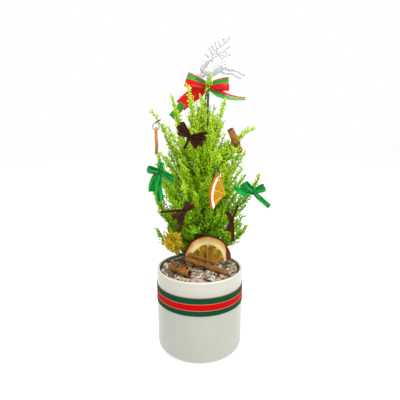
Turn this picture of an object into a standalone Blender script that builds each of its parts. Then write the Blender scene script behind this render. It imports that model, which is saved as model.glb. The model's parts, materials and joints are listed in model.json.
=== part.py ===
"""Artificial tabletop tree in a round pot, dressed with bows, dried orange and cinnamon.

Metres, +Z up. The origin is the centre of the pot's flat underside; -Y is the front.
The tree stands a little behind the middle of the pot, and its ornaments face the front.
"""

import math

import bmesh
import bpy
from mathutils import Matrix, Vector

MM = 0.001
GAP = 0.0004  # clearance between pieces that rest on or pass through each other

# Pot, and what fills it
POT_RADIUS = 0.060
POT_HEIGHT = 0.1184
POT_WALL = 0.004
POT_FLOOR = 0.007
POT_FOOT_ROUNDING = 0.011
RIM_ROUNDING = 0.0018
BAND_BOTTOM, BAND_TOP = 0.073, 0.0977
BAND_THICKNESS = 0.0006
POT_INNER_ROUNDING = 0.005
FOAM_TOP, FOAM_CHAMFER = 0.088, 0.006
GRAVEL_AT_WALL, GRAVEL_DOME = 0.112, 0.007
SEGMENTS = 48

# Trunk and the stake that carries the topper
TRUNK = [((-5.5, 17.0, 35), 4.2), ((-4.8, 14.5, 110), 4.0), ((-2.2, 12.0, 160), 3.5),
         ((0.8, 8.6, 215), 3.0), ((4.0, 5.0, 270), 2.5), ((6.2, 2.4, 320), 1.9),
         ((7.0, 1.4, 345), 1.5)]
STAKE_FOOT = Vector((-1.0, 24.0, 45.0)) * MM
STAKE_TOP = Vector((12.1, 0.4, 374.5)) * MM
STAKE_RADIUS = 0.0016
STAKE_POINT, STAKE_POINT_RADIUS = 0.004, 0.0006
STAKE_AXIS = (STAKE_TOP - STAKE_FOOT).normalized()

# Boughs: name, height of the root on the trunk, a point that the stem passes, tip, foliage radius.
# A bough that something is tied to has a bare waist at its middle point; the others keep their leaves there.
BOUGHS = [
    ("bough_low_right", 124, (42, 14, 146), (64, -6, 176), 9, False),
    ("bough_low_right_back", 138, (18, 47, 146), (42, 58, 176), 9, False),
    ("bough_low_back", 130, (-6, 46, 146), (2, 66, 176), 10, False),
    ("bough_low_left_back", 134, (-30, 36, 144), (-42, 52, 172), 10, False),
    ("bough_low_left", 124, (-42, 16, 141), (-61, 14, 165), 9, False),
    ("yellow_sprig", 128, (-32, -3, 148), (-35, -33, 168), 8, False),
    ("bough_low_front", 170, (-7, -14, 172), (-7, -38, 180), 8, False),
    ("bough_low_front_right", 165, (21, -13, 167), (33, -34, 175), 7, False),
    ("bough_mid_right", 174, (68, -17, 228), (77, -19, 248), 9, True),
    ("bough_mid_right_back", 178, (22, 53, 212), (46, 58, 244), 9, False),
    ("bough_mid_back", 160, (-12, 54, 200), (-4, 70, 240), 9, False),
    ("bough_mid_left_back", 158, (-38, 40, 206), (-51, 50, 242), 10, False),
    ("bough_mid_left", 152, (-46, 10, 190), (-63, 10, 222), 9, False),
    ("bough_mid_left_front", 160, (-48, -23, 256), (-51, -26, 276), 8, True),
    ("bough_mid_front", 182, (-18, -44, 211), (-19, -50, 240), 8, True),
    ("bough_mid_front_right", 192, (38, -33, 196), (46, -40, 226), 7, True),
    ("bough_high_front_right", 186, (20, -49, 264), (21, -57, 284), 7, True),
    ("bough_high_left", 198, (-53, -12, 319), (-60, -15, 331), 8, True),
    ("bough_high_left_back", 206, (-24, 34, 285), (-32, 46, 320), 9, False),
    ("bough_high_right_back", 212, (19, 45, 285), (34, 52, 316), 8, False),
    ("bough_high_right", 200, (45, -9, 292), (70, -4, 309), 8, True),
    ("bough_high_right_front", 234, (12, -27, 292), (16, -36, 322), 6, False),
    ("bough_high_front", 214, (-12, -28, 300), (-19, -35, 318), 6, True),
    ("bough_top_left", 256, (-9, -8, 330), (-15, -9, 361), 7, False),
    ("bough_top_left_outer", 236, (-28, 0, 318), (-36, 0, 349), 7, False),
    ("bough_top_right", 256, (24, -6, 316), (32, -8, 344), 7, False),
    ("bough_top_back", 256, (4, 20, 322), (2, 28, 352), 7, False),
]
BOUGH_STEPS = (0, 0.12, 0.22, 0.32, 0.43, 0.55, 0.66, 0.77, 0.88, 0.95, 1)  # shares of a bough's run
WAIST_STEPS = (-14, -8, -4.5, 4.5, 8, 14)  # extra steps about a waist, in millimetres from it
WAIST_REACH = 0.016  # nearer to a waist than this only the extra steps stay
STEM_RADIUS = 0.0011
STEM_TIP_RADIUS = 0.0009
LEAVES_START = 0.2
WAIST_RADIUS = 0.0014
WAIST_HALF = 0.0045
WAIST_FLARE = 0.26

# Bows
TOP_BOW_KNOT, TOP_BOW_KNOT_RADIUS, TOP_BOW_THICKNESS = (10.4, 9.6, 364.3), 0.0042, 0.0009
GREEN_KNOT_RADIUS, GREEN_THICKNESS = 0.0036, 0.0008
BROWN_KNOT_RADIUS, BROWN_THICKNESS = 0.0034, 0.0008
PINCH = 1.1  # a ribbon's width in the knot, as a share of the knot's radius

# Orange slices, wire and cinnamon
SLICE_THICKNESS = 0.0036
SLICE_CORNERS = 18
SLICE_HOLE = 0.0016
HOOK_WIRE = 0.0005
HOOK_EYE = WAIST_RADIUS + GAP + HOOK_WIRE
HANGER_EYE = 0.0036
HOOK_HALF_WIDTH = 0.0040
OVAL_SQUARENESS = 0.57
HUNG_HEAD = 0.62  # share of the hung stick above its tie
QUILL_CORNERS = 16
QUILL_GROOVE, QUILL_BORE = 0.82, 0.5  # shares of a stick's radius

# Reindeer: (x, z) points in millimetres from the stake's top, and radii in millimetres
DEER_LIMBS = [
    ([(-7.5, 9), (-3, 5.5), (3, 4.5), (9, 8), (15, 13), (19, 15.5)], [4.2, 5.4, 5.0, 4.8, 4.6, 2.2]),
    ([(-5.5, 6.5), (-6.5, 12), (-3.5, 17.5), (0.5, 20)], [4.6, 4.2, 3.2, 2.8]),
    ([(2.5, 20.5), (-2, 19), (-6.5, 16.8)], [3.1, 2.5, 1.5]),
    ([(1.5, 21.5), (-2, 25.5), (-5.5, 27.5)], [1.4, 1.5, 0.8]),
    ([(15, 12), (24, 9.5), (31, 8.2), (38, 6), (45, 2)], [4.2, 2.8, 2.0, 1.5, 1.5]),
    ([(13, 9), (21, 4.8), (28, 4.4), (34, 1.5), (40, -1.5)], [3.8, 2.6, 1.8, 1.4, 1.5]),
    ([(18, 14), (19.5, 18.5)], [1.6, 0.9]),
    ([(-8, 4.5), (-12.5, 1.6), (-14.6, 2.8)], [2.6, 1.5, 1.2]),
    ([(-5, 2.8), (-10, -0.2), (-7.5, -2.2)], [2.4, 1.4, 1.2]),
]
DEER_BEAMS = [[(2.5, 22), (6, 28), (11, 34), (18, 39), (23, 43), (25, 47)],
              [(3, 22), (9, 25), (14, 29.5), (19, 32), (25, 36)]]
DEER_TINES = [((4.5, 25.5), (0.5, 34)), ((7, 29.5), (3.5, 37)), ((10, 33), (7, 41)),
              ((14, 36.5), (12.5, 42.5)), ((19.5, 40), (18, 45)), ((11, 27), (16.5, 22)),
              ((12, 28), (20, 24.5)), ((20, 24.5), (26, 26.5)), ((15, 30), (21.5, 29)), ((9, 25), (9.5, 31))]
DEER_JOINTS = [(-8.2, 16.4, 1.8), (2.4, 20.4, 3.4), (-6.2, 9.5, 4.6)]  # x, z and radius of filled-out places
DEER_BEAM_RADIUS, DEER_TINE_RADIUS, DEER_BEAD_RADIUS = 0.0011, 0.0009, 0.0015
DEER_BEAM_APART = 1.6  # how far each antler leans to its own side, in millimetres
DEER_VOXEL, DEER_FACES_KEPT = 0.00055, 0.09
SOCKET_RADIUS, SOCKET_DEPTH, SOCKET_BORE = 0.0034, 0.011, 0.012

COLOURS = {
    "ceramic": ((0.62, 0.63, 0.57), 0.35),
    "ribbon_green_red": ((0.05, 0.12, 0.05), 0.6),
    "foam": ((0.12, 0.20, 0.08), 0.9),
    "gravel": ((0.60, 0.55, 0.48), 0.8),
    "bark": ((0.11, 0.07, 0.04), 0.8),
    "stake": ((0.03, 0.10, 0.03), 0.5),
    "leaf": ((0.25, 0.48, 0.03), 0.5),
    "yellow_leaf": ((0.55, 0.40, 0.03), 0.6),
    "acrylic": ((0.85, 0.88, 0.90), 0.05),
    "bow_red": ((0.75, 0.02, 0.02), 0.4),
    "bow_green": ((0.0, 0.35, 0.08), 0.35),
    "bow_brown": ((0.07, 0.02, 0.015), 0.4),
    "orange": ((0.75, 0.35, 0.05), 0.5),
    "dried_orange": ((0.65, 0.38, 0.10), 0.6),
    "cinnamon": ((0.32, 0.16, 0.06), 0.7),
    "wire": ((0.05, 0.07, 0.03), 0.4),
}


def mm(point):
    return Vector(point) * MM


def clear_scene():
    for obj in list(bpy.data.objects):
        bpy.data.objects.remove(obj, do_unlink=True)


def material(name):
    found = bpy.data.materials.get(name)
    if found:
        return found
    colour, roughness = COLOURS[name]
    made = bpy.data.materials.new(name)
    made.use_nodes = True
    shader = made.node_tree.nodes["Principled BSDF"]
    shader.inputs["Base Color"].default_value = (*colour, 1)
    shader.inputs["Roughness"].default_value = roughness
    return made


def add_object(name, data, look):
    obj = bpy.data.objects.new(name, data)
    bpy.context.scene.collection.objects.link(obj)
    data.materials.append(material(look))
    return obj


def mesh_object(name, bm, look, smooth=40):
    bmesh.ops.remove_doubles(bm, verts=bm.verts, dist=1e-7)
    bmesh.ops.recalc_face_normals(bm, faces=bm.faces)
    mesh = bpy.data.meshes.new(name)
    bm.to_mesh(mesh)
    bm.free()
    mesh.shade_smooth()
    mesh.set_sharp_from_angle(angle=math.radians(smooth))
    return add_object(name, mesh, look)


def set_origin(obj, point):
    """Moves the object's origin to the point, and leaves its shape where it is."""
    obj.data.transform(Matrix.Translation(-Vector(point)))
    obj.location = point
    return obj


def carry(parent, *children):
    """The children move with the parent and stay where they are."""
    for child in children:
        child.parent = parent
        child.matrix_parent_inverse = Matrix.Translation(-parent.location)


def hide(obj):
    obj.hide_render = True
    obj.display_type = "WIRE"
    return obj


def boolean(obj, other, operation):
    modifier = obj.modifiers.new(operation.title(), "BOOLEAN")
    modifier.operation = operation
    modifier.object = hide(other)


def tube(name, points, radii, look, resolution=2, cyclic=False):
    """A round bar along the points, with its own radius at each of them."""
    curve = bpy.data.curves.new(name, "CURVE")
    curve.dimensions = "3D"
    curve.bevel_depth = 1.0
    curve.bevel_resolution = resolution
    curve.use_fill_caps = not cyclic
    spline = curve.splines.new("POLY")
    spline.points.add(len(points) - 1)
    for place, point, radius in zip(spline.points, points, radii):
        place.co = (*point, 1)
        place.radius = radius
    spline.use_cyclic_u = cyclic
    return add_object(name, curve, look)


def solid_tube(name, points, radii, look, resolution=2, cyclic=False):
    """The same bar as a mesh, for a Boolean."""
    source = tube(name + "_path", points, radii, look, resolution, cyclic)
    bpy.context.view_layer.update()
    mesh = bpy.data.meshes.new_from_object(source.evaluated_get(bpy.context.evaluated_depsgraph_get()))
    bpy.data.objects.remove(source)
    bm = bmesh.new()
    bm.from_mesh(mesh)
    bpy.data.meshes.remove(mesh)
    return mesh_object(name, bm, look)


def loft(name, rings, look, smooth=40):
    """A closed solid through rings that all have the same number of corners."""
    bm = bmesh.new()
    corners = [[bm.verts.new(p) for p in ring] for ring in rings]
    count = len(corners[0])
    for near, far in zip(corners, corners[1:]):
        for i in range(count):
            j = (i + 1) % count
            bm.faces.new((near[i], near[j], far[j], far[i]))
    bm.faces.new(corners[0])
    bm.faces.new(corners[-1])
    return mesh_object(name, bm, look, smooth)


def turned(name, profile, look, segments=SEGMENTS):
    """A solid turned about Z from an open profile of (radius, height) whose ends lie on the axis."""
    bm = bmesh.new()
    line = [bm.verts.new((radius, 0, height)) for radius, height in profile]
    edges = [bm.edges.new(pair) for pair in zip(line, line[1:])]
    bmesh.ops.spin(bm, geom=line + edges, cent=(0, 0, 0), axis=(0, 0, 1),
                   angle=math.tau, steps=segments, use_merge=True, use_duplicate=False)
    return mesh_object(name, bm, look, 30)


def arc(centre, radius, start, end, steps):
    """Points of a circular arc in (radius, height), angles in degrees."""
    angles = [math.radians(start + (end - start) * i / steps) for i in range(steps + 1)]
    return [(centre[0] + radius * math.cos(a), centre[1] + radius * math.sin(a)) for a in angles]


# ---------------------------------------------------------------- pot and filling

def make_pot():
    inner = POT_RADIUS - POT_WALL
    foot = (POT_RADIUS - POT_FOOT_ROUNDING, POT_FOOT_ROUNDING)
    lip = POT_HEIGHT - RIM_ROUNDING
    profile = [(0, 0)]
    profile += arc(foot, POT_FOOT_ROUNDING, -90, 0, 6)
    profile += arc((POT_RADIUS - RIM_ROUNDING, lip), RIM_ROUNDING, 0, 90, 3)
    profile += arc((inner + RIM_ROUNDING, lip), RIM_ROUNDING, 90, 180, 3)
    corner = (inner - POT_INNER_ROUNDING, POT_FLOOR + POT_INNER_ROUNDING)
    profile += arc(corner, POT_INNER_ROUNDING, 0, -90, 3)
    profile += [(0, POT_FLOOR)]
    turned("pot", profile, "ceramic")


def make_band():
    inside = POT_RADIUS + GAP
    outside = inside + BAND_THICKNESS
    bm = bmesh.new()
    for radius, height in ((inside, BAND_BOTTOM), (outside, BAND_BOTTOM),
                           (outside, BAND_TOP), (inside, BAND_TOP)):
        bm.verts.new((radius, 0, height))
    bm.verts.ensure_lookup_table()
    edges = [bm.edges.new((bm.verts[i], bm.verts[(i + 1) % 4])) for i in range(4)]
    bmesh.ops.spin(bm, geom=list(bm.verts) + edges, cent=(0, 0, 0), axis=(0, 0, 1),
                   angle=math.tau, steps=SEGMENTS, use_merge=True, use_duplicate=False)
    mesh_object("pot_ribbon_band", bm, "ribbon_green_red", 30)


def gravel_height(radius):
    """The gravel is heaped towards the trunk."""
    return GRAVEL_AT_WALL + GRAVEL_DOME * math.cos(math.pi / 2 * min(1, radius / POT_RADIUS))


def bored(name, profile, look, bores):
    """A turned filling with the holes that the trunk and the stake stand in."""
    filling = turned(name, profile, look, 32)
    for index, (points, radii) in enumerate(bores):
        cutter = solid_tube(f"{name}_bore_{index}", points, [r + GAP for r in radii], look)
        boolean(filling, cutter, "DIFFERENCE")
    return filling


def make_filling():
    reach = POT_RADIUS - POT_WALL - GAP
    trunk = ([mm(p) for p, _ in TRUNK], [r * MM for _, r in TRUNK])
    trunk[0][0].z -= GAP
    stake = ([STAKE_FOOT - STAKE_AXIS * GAP, STAKE_TOP], [STAKE_RADIUS] * 2)
    foam = [(0, POT_FLOOR + GAP), (reach - FOAM_CHAMFER, POT_FLOOR + GAP), (reach, POT_FLOOR + FOAM_CHAMFER),
            (reach, FOAM_TOP), (0, FOAM_TOP)]
    bored("foam_core", foam, "foam", [trunk, stake])
    base = FOAM_TOP + GAP
    radii = [reach * i / 6 for i in range(6, -1, -1)]
    gravel = [(0, base), (reach, base)] + [(r, gravel_height(r)) for r in radii]
    bed = bored("gravel_bed", gravel, "gravel", [trunk, stake])
    boolean(bed, base_slice("gravel_slot", GAP), "DIFFERENCE")


# ---------------------------------------------------------------- trunk, stake, boughs

def make_trunk_and_stake():
    tube("trunk", [mm(p) for p, _ in TRUNK], [r * MM for _, r in TRUNK], "bark", 3)
    stake = tube("topper_stake", [STAKE_FOOT, STAKE_FOOT + STAKE_AXIS * STAKE_POINT, STAKE_TOP],
                 [STAKE_POINT_RADIUS, STAKE_RADIUS, STAKE_RADIUS], "stake")
    return set_origin(stake, STAKE_TOP)


def trunk_at(height):
    """Centre and radius of the trunk at a height in millimetres."""
    for (low, low_radius), (high, high_radius) in zip(TRUNK, TRUNK[1:]):
        if height <= high[2]:
            share = (height - low[2]) / (high[2] - low[2])
            radius = low_radius + (high_radius - low_radius) * share
            return mm(Vector(low).lerp(Vector(high), share)), radius * MM
    return mm(TRUNK[-1][0]), TRUNK[-1][1] * MM


def bough_curve(root, middle, tip, share):
    """A quadratic curve that passes the middle point at that share of its run."""
    control = (middle - root * (1 - share) ** 2 - tip * share**2) / (2 * share * (1 - share))
    return lambda t: root * (1 - t) ** 2 + control * 2 * t * (1 - t) + tip * t**2


def leaf_radius(t, widest):
    """Bare stem, then foliage that swells and closes to the tip."""
    if t < LEAVES_START:
        return STEM_RADIUS
    swell = math.sin(math.pi * min(1, (t - LEAVES_START) / (1 - LEAVES_START)) ** 0.8) ** 0.75
    return max(STEM_RADIUS, widest * swell) if t < 1 else STEM_TIP_RADIUS


def waist_limit(distance):
    """Foliage thins towards a tied point, so that the bow or fruit has room beside the stem."""
    return WAIST_RADIUS + max(0, distance - WAIST_HALF) * WAIST_FLARE


def make_bough(name, root_height, middle, tip, widest, tied):
    """Returns the bough, and the point and the direction of its stem at its waist."""
    centre, trunk_radius = trunk_at(root_height)
    middle, tip = mm(middle), mm(tip)
    outward = Vector((middle.x - centre.x, middle.y - centre.y, 0)).normalized()
    root = centre + outward * (trunk_radius + STEM_RADIUS + GAP)
    run = (middle - root).length + (tip - middle).length
    share = (middle - root).length / run
    curve = bough_curve(root, middle, tip, share)
    steps = list(BOUGH_STEPS)
    if tied:
        steps = [t for t in steps if abs(t - share) * run > WAIST_REACH]
        steps += [t for t in (share + d * MM / run for d in WAIST_STEPS) if 0 < t < 1]
    steps.sort()
    radii = [leaf_radius(t, widest * MM) for t in steps]
    if tied:
        radii = [min(radius, waist_limit(abs(t - share) * run)) for t, radius in zip(steps, radii)]
    look = "yellow_leaf" if name == "yellow_sprig" else "leaf"
    bough = tube(name, [curve(t) for t in steps], radii, look)
    set_origin(bough, root)
    return bough, curve(share), (curve(share + 0.01) - curve(share - 0.01)).normalized()


def make_leader():
    """The top shoot carries on from the trunk and passes in front of the top bow's knot."""
    path = [(7.4, 0.6, 346.6), (8.2, -2.2, 351), (9.0, -5.2, 355), (10.2, -6.6, 359), (10.8, -7.0, 361.5),
            (11.4, -7.2, 364.5), (12.2, -7.6, 367.5), (13.4, -8.2, 371), (14.4, -8.8, 374.5)]
    radii = [1.2, 2.2, 3.4, 3.0, 1.3, 1.3, 3.0, 2.6, 0.8]
    tube("leader_shoot", [mm(p) for p in path], [r * MM for r in radii], "leaf")


# ---------------------------------------------------------------- wire loops and ties

def two_circle_loop(first, first_radius, second, second_radius, normal, steps=20):
    """The closed line that a wire takes round two bars, in the plane with that normal."""
    side = (second - first) - normal * (second - first).dot(normal)
    side = side.normalized() if side.length > 1e-6 else normal.orthogonal().normalized()
    up = normal.cross(side)
    points = []
    for i in range(steps):
        angle = math.tau * i / steps
        way = side * math.cos(angle) + up * math.sin(angle)
        if way.dot(first) + first_radius > way.dot(second) + second_radius:
            points.append(first + way * first_radius)
        else:
            points.append(second + way * second_radius)
    return points


def wire_loop(name, points):
    return tube(name, points, [HOOK_WIRE] * len(points), "wire", 1, cyclic=True)


def solid_wire_loop(name, points):
    return solid_tube(name, points, [HOOK_WIRE] * len(points), "wire", 1, cyclic=True)


def ring(name, centre, normal, radius):
    return wire_loop(name, two_circle_loop(centre, radius, centre, radius, normal, 16))


# ---------------------------------------------------------------- ribbons and bows

def ribbon(name, path, across, widths, thickness, look):
    """A flat strip: at each point of the path, its width runs along the across direction."""
    rings = []
    for i, (point, side, width) in enumerate(zip(path, across, widths)):
        ahead = path[min(i + 1, len(path) - 1)] - path[max(i - 1, 0)]
        side = side.normalized()
        face = ahead.cross(side).normalized() * thickness / 2
        half = side * width / 2
        rings.append([point - half - face, point + half - face, point + half + face, point - half + face])
    return loft(name, rings, look, 30)


def loop_strip(name, knot, way, across, length, opening, width, pinch, thickness, look, steps=11):
    """One loop of a bow: out from the knot along way, round, and back."""
    way = way.normalized()
    across = (across - way * across.dot(way)).normalized()
    depth = way.cross(across)
    path, sides, widths = [], [], []
    for i in range(steps):
        s = i / (steps - 1)
        out = length * math.sin(math.pi * s) ** 0.85
        apart = opening / 2 * math.cos(math.pi * s) * (0.25 + 0.75 * math.sin(math.pi * s))
        path.append(knot + way * out + depth * apart)
        sides.append(across)
        widths.append(pinch + (width - pinch) * math.sin(math.pi * s) ** 0.5)
    return ribbon(name, path, sides, widths, thickness, look)


def tail_strip(name, knot, points, across, pinch, width, thickness, look):
    """A tail that starts pinched in the knot and widens to the ribbon's width."""
    path = [knot] + points
    widths = [pinch] + [width] * len(points)
    return ribbon(name, path, across, widths, thickness, look)


def make_bow(name, look, knot, knot_radius, thickness, loops, tails):
    """Loops are (way, across, length, opening, width); tails are (points, across list, width)."""
    bm = bmesh.new()
    bmesh.ops.create_icosphere(bm, subdivisions=2, radius=knot_radius,
                               matrix=Matrix.Translation(knot))
    bow = mesh_object(name, bm, look)
    pinch = knot_radius * PINCH
    for i, (way, across, length, opening, width) in enumerate(loops):
        strip = loop_strip(f"{name}_loop_{i}", knot, Vector(way), Vector(across), length * MM,
                           opening * MM, width * MM, pinch, thickness, look)
        boolean(bow, strip, "UNION")
    for i, (points, across, width) in enumerate(tails):
        sides = [Vector(a) for a in across]
        strip = tail_strip(f"{name}_tail_{i}", knot, [mm(p) for p in points], sides, pinch,
                           width * MM, thickness, look)
        boolean(bow, strip, "UNION")
    return bow


def make_top_bow():
    loops = [((-1, -0.05, 0.30), (0.25, 0.1, 1), 29, 15, 18),
             ((1, -0.10, 0.08), (-0.1, 0.1, 1), 28, 15, 17)]
    tails = [([(-2, 11, 357), (-14, 12, 349), (-26, 12, 338.5), (-36, 12, 326)],
              [(-0.6, 0, 0.8), (-0.62, 0.1, 0.78), (-0.62, 0.15, 0.78), (-0.55, 0.2, 0.8), (-0.5, 0.3, 0.8)], 17),
             ([(22, 10, 357), (36, 9, 351), (50, 8, 348.5), (60, 7, 348)],
              [(0, 0, 1), (0.1, 0.5, 0.9), (0.15, 0.8, 0.7), (0.1, 0.9, 0.5), (0, 0.95, 0.4)], 13)]
    make_bow("top_bow", "bow_red", mm(TOP_BOW_KNOT), TOP_BOW_KNOT_RADIUS, TOP_BOW_THICKNESS, loops, tails)
    loop = two_circle_loop(mm((11.1, -7.1, 363)), 0.0023, mm((11.7, 1.0, 363)), 0.0026, Vector((0, 0, 1)))
    wire_loop("top_bow_tie", loop)


def tie_to(waist, bow):
    """The bow and the wire ring that holds it ride on the bough at its waist."""
    bough, centre, way = waist
    carry(bough, bow, ring(bow.name + "_tie", centre, way, HOOK_EYE))


def make_green_bows(waists):
    left = mm((-50.4, -30.2, 256))
    loops = [((-1, -0.1, 0.25), (0.25, -0.6, 0.75), 16, 10, 9),
             ((0.85, -0.35, -0.45), (0.35, -0.5, 0.7), 22, 9, 10),
             ((0.2, -0.5, 1), (1, -0.3, 0), 15, 7, 8)]
    tails = [([(-52, -33, 247), (-52, -34, 234), (-50, -33, 219)],
              [(1, 0, 0.1), (1, 0.1, 0.1), (1, 0.2, 0.1), (1, 0.3, 0.2)], 9.5),
             ([(-56, -33, 249), (-60, -33, 240), (-61, -32, 231)],
              [(1, 0, -0.5), (1, 0.3, -0.4), (0.9, 0.5, -0.3), (0.8, 0.6, -0.2)], 9)]
    bow = make_bow("green_bow_left", "bow_green", left, GREEN_KNOT_RADIUS, GREEN_THICKNESS, loops, tails)
    tie_to(waists["bough_mid_left_front"], bow)
    right = mm((69.4, -24.4, 229.5))
    loops = [((-0.8, -0.2, 0.65), (0.5, -0.5, 0.6), 18, 11, 11),
             ((0.95, -0.1, 0.4), (-0.3, -0.4, 0.85), 16, 10, 10)]
    tails = [([(76, -27, 223), (83, -27, 217), (91, -26, 210)],
              [(0.5, 0, 0.8), (0.55, 0, 0.8), (0.6, 0, 0.75), (0.6, 0, 0.75)], 6.5),
             ([(60, -26, 228), (52, -27, 231), (44, -30, 236)],
              [(0, 0.2, 1), (0, 0.3, 1), (-0.2, 0.4, 0.9), (-0.3, 0.5, 0.8)], 9)]
    bow = make_bow("green_bow_right", "bow_green", right, GREEN_KNOT_RADIUS, GREEN_THICKNESS, loops, tails)
    tie_to(waists["bough_mid_right"], bow)


def make_brown_bows(waists):
    specs = [
        ("brown_bow_upper", mm((-12.4, -35.4, 300.5)), "bough_high_front",
         [((-1, -0.1, 0.85), (0.5, -0.7, 0.5), 19, 6, 6), ((-0.55, -0.45, 1), (0.8, -0.6, 0.3), 21, 6, 5.5),
          ((-1, -0.1, 0.35), (0.2, -0.7, 0.7), 15, 6, 6), ((1, -0.2, -0.12), (0.1, -0.6, 0.8), 21, 6, 6),
          ((0.85, -0.3, -0.5), (0.4, -0.7, 0.6), 20, 6, 6), ((0.6, -0.3, -0.95), (0.6, -0.7, 0.4), 17, 6, 6)],
         [([(0, -37, 303), (9, -38, 305)], [(0, -0.5, 1), (0, -0.5, 1), (0, -0.5, 1)], 4.5),
          ([(-15, -38, 293), (-19, -39, 286)], [(1, -0.4, 0), (1, -0.4, -0.2), (1, -0.4, -0.4)], 3.5)]),
        ("brown_bow_middle", mm((-18.4, -51.4, 211)), "bough_mid_front",
         [((0.35, -0.5, 1), (1, -0.4, -0.2), 14, 6, 7), ((0.9, -0.2, 0.5), (0.4, -0.5, -0.8), 14, 6, 6),
          ((-0.85, -0.2, -0.45), (0.4, -0.5, -0.8), 18, 7, 6),
          ((-0.4, -0.2, -1), (0.9, -0.5, -0.3), 20, 6, 7)],
         [([(-34, -52, 210.5), (-48, -52, 209)], [(0, -0.4, 1), (0, -0.4, 1), (0, -0.4, 1)], 4),
          ([(-22, -53, 198), (-25, -53, 184)], [(1, -0.3, 0), (1, -0.3, -0.1), (1, -0.3, -0.2)], 5)]),
        ("brown_bow_right", mm((40.6, -40.0, 196)), "bough_mid_front_right",
         [((-0.55, -0.3, 1), (0.8, -0.5, 0.3), 14, 5, 5), ((-0.3, -0.3, -1), (0.9, -0.4, -0.3), 15, 6, 6)],
         [([(44, -46, 206), (47, -50, 217)], [(1, 0, -0.2), (1, 0, -0.2), (1, 0, -0.2)], 3.5),
          ([(42, -42, 184), (42.5, -42, 168)], [(1, -0.2, 0), (1, -0.2, 0), (1, -0.2, 0)], 4.5)]),
    ]
    for name, knot, bough, loops, tails in specs:
        bow = make_bow(name, "bow_brown", knot, BROWN_KNOT_RADIUS, BROWN_THICKNESS, loops, tails)
        tie_to(waists[bough], bow)


# ---------------------------------------------------------------- fruit and spice

def slice_solid(name, centre, normal, up, radius, start, end, look, curl=0.0, drop=0.0, spare=0.0):
    """Part of a round slice between two angles from the up direction, curled about its own axis.

    The outline is the rind's arc, closed by the cut; drop moves the cut's middle below the centre.
    spare makes the whole slice bigger all round, for a cutter.
    """
    normal = normal.normalized()
    up = (up - normal * up.dot(normal)).normalized()
    side = up.cross(normal)
    outline = []
    for i in range(SLICE_CORNERS + 1):
        angle = math.radians(start + (end - start) * i / SLICE_CORNERS)
        outline.append(Vector((math.sin(angle), math.cos(angle))) * (radius + spare))
    if end - start < 359:
        outline.append(Vector((0, -drop - spare)))
    else:
        outline.pop()
    bm = bmesh.new()
    faces = []
    half = SLICE_THICKNESS / 2 + spare
    for offset in (-half, half):
        verts = [bm.verts.new(centre + side * p.x + up * p.y
                              + normal * (offset - curl * (p.x / radius) ** 2)) for p in outline]
        faces.append(verts)
    count = len(outline)
    bm.faces.new(reversed(faces[0]))
    bm.faces.new(faces[1])
    for i in range(count):
        j = (i + 1) % count
        bm.faces.new((faces[0][i], faces[0][j], faces[1][j], faces[1][i]))
    bmesh.ops.triangulate(bm, faces=bm.faces)
    return mesh_object(name, bm, look, 30)


def hang(name, waist, normal, drop, hole_in_slice, slice_args, look):
    """A slice on a wire hook: an eye round the stem, and an oval that runs through the slice's hole.

    hole_in_slice is the hole's place in the slice's own plane, sideways and up from its centre.
    """
    bough, stem, stem_way = waist
    normal, up = normal.normalized(), Vector((0, 0, 1))
    side = up.cross(normal)
    low = (stem_way * stem_way.z - up).normalized()
    top = stem + low * HANGER_EYE
    bottom = top - up * drop
    eye = two_circle_loop(stem, HANGER_EYE, stem, HANGER_EYE, stem_way, 14)
    middle, oval = (top + bottom) / 2, []
    for i in range(24):
        angle = math.tau * i / 24
        wide, tall = math.cos(angle), math.sin(angle)
        across = math.copysign(abs(wide) ** OVAL_SQUARENESS, wide) * HOOK_HALF_WIDTH
        across *= 1 - 0.8 * max(0, tall) ** 2
        along = math.copysign(abs(tall) ** OVAL_SQUARENESS, tall) * drop / 2
        oval.append(middle + normal * across + up * along)
    hook = solid_wire_loop(name + "_hook", eye)
    boolean(hook, solid_wire_loop(name + "_oval", oval), "UNION")
    hole = bottom - up * (SLICE_HOLE - HOOK_WIRE - GAP)
    centre = hole - side * hole_in_slice[0] * MM - up * hole_in_slice[1] * MM
    fruit = slice_solid(name, centre, normal, up, *slice_args, look)
    reach = normal * SLICE_THICKNESS
    boolean(fruit, solid_tube(name + "_hole", [hole - reach, hole + reach], [SLICE_HOLE] * 2, look, 1),
            "DIFFERENCE")
    carry(bough, hook, set_origin(fruit, bottom))


def make_slices(waists):
    hang("orange_slice_front", waists["bough_high_front_right"], Vector((0.77, -0.64, 0)),
         0.0125, (-16.6, 19.6), (0.0300, -120, -22), "orange")
    hang("orange_slice_left", waists["bough_high_left"], Vector((0.993, 0.118, 0)),
         0.0090, (0, 13.3), (0.0175, 0, 360), "dried_orange")
    base_slice("orange_slice_base")


def base_slice(name, spare=0.0):
    """The dried slice that stands in the gravel, leaning a little back and bowed forward at its sides."""
    lean = math.radians(8)
    return slice_solid(name, mm((11.0, -0.8, 129.7)), Vector((0.04, -math.cos(lean), math.sin(lean))),
                       Vector((0.02, 0.1, 1)), 0.0330, -120, 90, "dried_orange",
                       curl=-0.003, drop=0.0140, spare=spare)


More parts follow.
